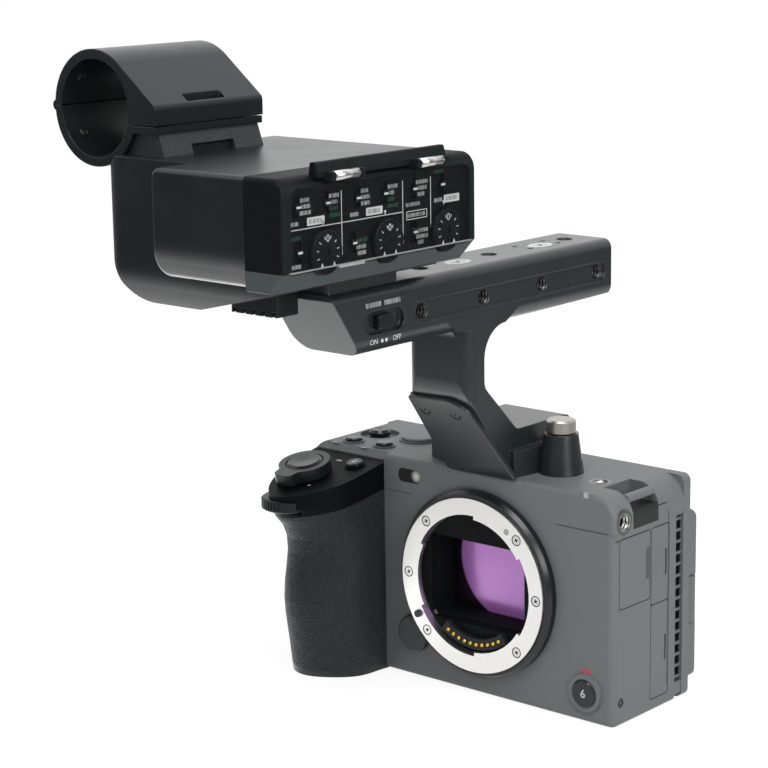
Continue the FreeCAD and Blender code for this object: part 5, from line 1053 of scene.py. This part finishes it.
class CAMERA_OT_audio(bpy.types.Operator):
    """Dress the audio box and add the marks, ribs and print of its panel and its hinged cover"""
    bl_idname = "camera.audio"
    bl_label = "Audio box"

    def execute(self, context):
        detail = context.scene.camera_details
        dress(box_plastic="audio_shell audio_front_cover", panel_black="control_panel",
              clear_cover="flip_cover", dial_black="level_dial_1 level_dial_2 level_dial_3",
              gloss_black=" ".join(f"channel_switch_{i}" for i in range(1, 10)),
              dark_steel="xlr_sockets")
        for index, y in enumerate(DIAL_PLACES, start=1):
            body = f"level_dial_{index}"
            face = on_right(y, DIAL_HEIGHT, DIAL_FACE)
            teeth(f"level_dial_ribs_{index}", on_right(y, DIAL_HEIGHT, DIAL_FACE - 1.5), body,
                  "dial_black", detail.dial_ribs, DIAL_RIBS_RADIUS, (0.4, 0.6, 1.8))
            teeth(f"level_dial_ticks_{index}", face, body, "print_white", detail.dial_ticks,
                  TICK_RADIUS, (0.95, 0.26, 0.08), 90.0 - TICK_SWEEP / 2,
                  TICK_SWEEP / (detail.dial_ticks - 1))
            ends = Shape(f"level_dial_ends_{index}")
            for angle in (-54, 234):
                x, up = around(TICK_RADIUS, angle)
                ends.plate(face, [(x - 0.6, up - 0.6), (x + 0.6, up - 0.6), (x, up + 0.7)])
            ends.done("print_white", body)
            sign(f"level_dial_figure_{index}", "0", on_right(y, DIAL_HEIGHT + 3.9, DIAL_FACE),
                 2.1, body, "print_white")
        face = on_right(0, 0, PANEL_FACE)
        lines = Shape("panel_lines")
        for y, low, high in ((-105.4, 164, 182.4), (-78.7, 164, 182.4), (-66, 164.4, 182.4)):
            lines.bar(face, y, (low + high) / 2, 0.26, high - low)
        lines.bar(face, -103.1, LINE_HEIGHT, 48, 0.24)
        for y in DIAL_PLACES:
            tip = LINE_HEIGHT + 1.4
            lines.plate(face, [(y, LINE_HEIGHT), (y + 0.55, tip), (y - 0.55, tip)])
        low_y, high_y, low_z, high_z = BOXED_WORD
        lines.frame(face, round_corners(low_y, high_y, low_z, high_z, 0.3), round_corners(
            low_y + 0.22, high_y - 0.22, low_z + 0.22, high_z - 0.22, 0.15))
        lines.done("print_white")
        fine_print("panel_print", face, WORD_ROWS, "print_white")
        fine_print("panel_print_green", face, GREEN_ROWS, "print_green")
        plates = Shape("panel_number_plates")
        for along, up in NUMBER_PLATES:
            plates.plate(face, round_corners(along - 3.6, along + 3.6, up - 1.15, up + 1.15, 0.3))
        plates.done("print_white")
        fine_print("panel_number_print", on_right(0, 0, PANEL_FACE + 0.05),
                   [(along - 2.7, up, 5.6) for along, up in NUMBER_PLATES], "seam_black", 1.3)
        for index, (y, z) in enumerate(SWITCH_PLACES, start=1):
            bars(f"channel_switch_mark_{index}", "print_white",
                 (on_right(0, 0, PANEL_FACE + 0.9), y, z, 1.8, 0.62),
                 body=f"channel_switch_{index}")
        edge = on_right(0, 0, COVER_EDGE)
        bars("cover_lower_edge", "cover_edge", (edge, -90.7, 161.95, 79.2, 0.2, 0, 1.1),
             (edge, -105.3, 161.5, 10.6, 0.7, 0, 1.12), body="flip_cover")
        lathed("cover_hinge_sleeves", "flip_cover", "bright_steel",
               [seat((27.8, y, 187.4), (0, 0, 1), (1, 0, 0)) for y in (-106.9, -69.7)],
               [(0.9, -5.1), (1.42, -5.1), (1.42, 5.1), (0.9, 5.1)], 32)
        # A flat black plate that draws the slot's opening; its black is painted shade
        corners = [(-46, -66.4), (-41.4, -66.4), (-41.4, -58.6), (-46, -58.6)]
        Shape("box_top_slot").plate(on_top(0, 0, BOX_TOP), corners, -0.1, 0.03).done("matte_black")
        return {"FINISHED"}


class CAMERA_OT_microphone(bpy.types.Operator):
    """Dress the microphone holder and add its pads and its notch block"""
    bl_idname = "camera.microphone"
    bl_label = "Microphone holder"

    def execute(self, context):
        dress(box_plastic="mic_cradle mic_cover", textured_plastic="mic_base")
        for name, angles, body in (("mic_cradle_pads", (215, 325), "camera"),
                                   ("mic_cover_pads", (145,), "mic_cover")):
            lathed(name, body, "knurled_black",
                   [pad_seat(angle, y) for angle in angles for y in (-107, -73)],
                   [(0, -0.3), (1.7, -0.3), (1.6, 0.35), (1.15, 0.85), (0, 1)], 24)
        Shape("mic_notch_block").plate(
            on_right(0, 0, -45.1), round_corners(-98.3, -81.2, BOX_TOP + 0.05, 190.2, 0.3), 0,
            1.6, 0.02).done("grip_plastic")
        return {"FINISHED"}


class CAMERA_OT_monitor(bpy.types.Operator):
    """Dress the monitor, lay in its screen and print the words of the back"""
    bl_idname = "camera.monitor"
    bl_label = "Monitor"

    def execute(self, context):
        dress(painted_body="monitor")
        outline = round_corners(-48.9, 18.7, 9.5, 58.5, 0.6)
        Shape("screen").plate(on_back(0, 0, 34.86), outline, 0, 0.3).done("screen_glass", "monitor")
        rows = [(-x - WORD_LONG / 2, z, WORD_LONG) for x, z in REAR_WORDS]
        fine_print("rear_button_words", on_back(0, 0), rows, "print_grey", 1.1)
        arrows = Shape("rear_wheel_arrows")
        for turn in range(4):
            angle = math.radians(90 * turn)
            arrows.plate(on_back(*WHEEL_PLACE), [
                (r * math.cos(angle + a), r * math.sin(angle + a))
                for r, a in ((10.9, -0.07), (11.8, 0), (10.9, 0.07))])
        arrows.done("print_grey")
        return {"FINISHED"}


class CAMERA_OT_stage(bpy.types.Operator):
    """Lay the floor, hang the lamps and stand the viewing camera"""
    bl_idname = "camera.stage"
    bl_label = "Stage"

    def execute(self, context):
        scene = context.scene
        chosen = scene.camera_stage
        half = chosen.floor_size / 2
        data = bpy.data.meshes.new("floor")
        data.from_pydata([(-half, -half, 0), (half, -half, 0), (half, half, 0), (-half, half, 0)],
                         [], [(0, 1, 2, 3)])
        floor = bpy.data.objects.new("floor", data)
        scene.collection.objects.link(floor)
        data.materials.append(floor_finish())
        light_room(chosen.room_light)
        lamp("top_lamp", (0.25, -0.45, 1.1), chosen.top_power, 0.6)
        lamp("side_lamp", (0.95, -0.3, 0.5), chosen.key_power, 0.5)
        lamp("fill_lamp", (-0.9, -0.9, 0.8), chosen.fill_power, 0.9)
        stand_camera(chosen.focal_length)
        scene.view_settings.view_transform = "Standard"
        return {"FINISHED"}


def floor_finish():
    """Pale floor that looks white and keeps the shadow; to glossy rays it glows as a painted
    reflection, brightest in a painted pool of light near the audio box and dimmer further off."""
    made = Finish("floor", (0.86, 0.86, 0.86), 0.9)
    made.set(base_color=made.blend(made.noise(400.0), (0.85,) * 3, (0.88,) * 3))
    x, y, z = made.millimetres()
    far = made.between(reach(x, y, (0.0, 0.0)), 1.0, FLOOR_DARK, *FLOOR_FAR)
    seen, gloss = made.looked_at(), made.ray("Glossy")
    # Painted light: a pool near the audio box and a fall-off with distance, seen only in gloss
    painted_light_pool = made.between(x, 1.0, 0.0, *PAINTED_POOL_X) * made.between(y, 0.0, 1.0, *PAINTED_POOL_Y)
    lit = gloss * far * (painted_light_pool * FLOOR_PAINTED_POOL + 1.0)
    glow = made.node("ShaderNodeEmission", {"Strength": seen * FLOOR_WHITE + lit})
    made.feed(made.surface, made.node("ShaderNodeMixShader", {
        0: seen * FLOOR_SHARE + gloss, 1: made.shader, 2: glow}))
    return made.material


def light_room(strength):
    """Studio light: bright overhead and behind, dim from the front; white where looked at."""
    world = bpy.data.worlds.new("room")
    world.use_nodes = True
    room = Nodes(world.node_tree)
    output = room.tree.nodes.new("ShaderNodeOutputWorld")
    x, y, z = room.split(room.node("ShaderNodeTexCoord", out="Generated"))
    behind = room.between(y * 0.76 - x * 0.65, 0.0, 1.0, -0.2, 0.9)
    overhead = room.between(z, 0.0, 1.0, 0.1, 0.9)
    level = (behind * 0.95 + overhead * 0.4 + FLOOR_DARK) * strength
    lit, white = (room.node("ShaderNodeBackground", {"Color": (1, 1, 1, 1), "Strength": value})
                  for value in (level, 1.0))
    room.feed(output.inputs["Surface"], room.node("ShaderNodeMixShader", {
        0: room.looked_at(), 1: lit, 2: white}))
    bpy.context.scene.world = world


def lamp(name, place, power, size):
    """A square soft lamp turned towards the middle of the camera."""
    light = bpy.data.lights.new(name, "AREA")
    light.energy = power
    light.size = size
    made = bpy.data.objects.new(name, light)
    made.location = place
    aim = Vector(LAMP_AIM) - made.location
    made.rotation_euler = aim.to_track_quat("-Z", "Y").to_euler()
    bpy.context.scene.collection.objects.link(made)


def stand_camera(focal_length):
    """The photograph's view: from the front right, a little above."""
    azimuth, elevation, roll = (math.radians(angle) for angle in VIEW_ANGLES)
    turn = (Matrix.Rotation(azimuth, 4, "Z") @ Matrix.Rotation(math.pi / 2 - elevation, 4, "X")
            @ Matrix.Rotation(roll, 4, "Z"))
    lens = bpy.data.cameras.new("view")
    lens.sensor_width = 36.0
    lens.lens = focal_length
    lens.shift_x, lens.shift_y = VIEW_SHIFT
    lens.clip_start = 0.01
    made = bpy.data.objects.new("view", lens)
    made.matrix_world = Matrix.Translation(spot(*VIEW_PLACE)) @ turn
    bpy.context.scene.collection.objects.link(made)
    bpy.context.scene.camera = made


class CAMERA_PT_dressing(bpy.types.Panel):
    """Lists the settings and the steps"""
    bl_label = "Camera dressing"
    bl_space_type = "VIEW_3D"
    bl_region_type = "UI"
    bl_category = "Camera"

    def draw(self, context):
        for name, kind in SETTINGS.items():
            box = self.layout.box()
            for setting in kind.__annotations__:
                box.prop(getattr(context.scene, name), setting)
        for step in STEPS:
            self.layout.operator(step.bl_idname)


STEPS = (CAMERA_OT_prepare, CAMERA_OT_casing, CAMERA_OT_mount, CAMERA_OT_grip, CAMERA_OT_handle,
         CAMERA_OT_audio, CAMERA_OT_microphone, CAMERA_OT_monitor, CAMERA_OT_stage)
CLASSES = (*SETTINGS.values(), *STEPS, CAMERA_PT_dressing)


def register():
    for item in CLASSES:
        bpy.utils.register_class(item)
    for name, group in SETTINGS.items():
        setattr(bpy.types.Scene, name, PointerProperty(type=group))


def unregister():
    for name in SETTINGS:
        delattr(bpy.types.Scene, name)
    for item in reversed(CLASSES):
        bpy.utils.unregister_class(item)


def main():
    register()
    for step in STEPS:
        group, name = step.bl_idname.split(".")
        getattr(getattr(bpy.ops, group), name)()


if __name__ == "__main__":
    main()
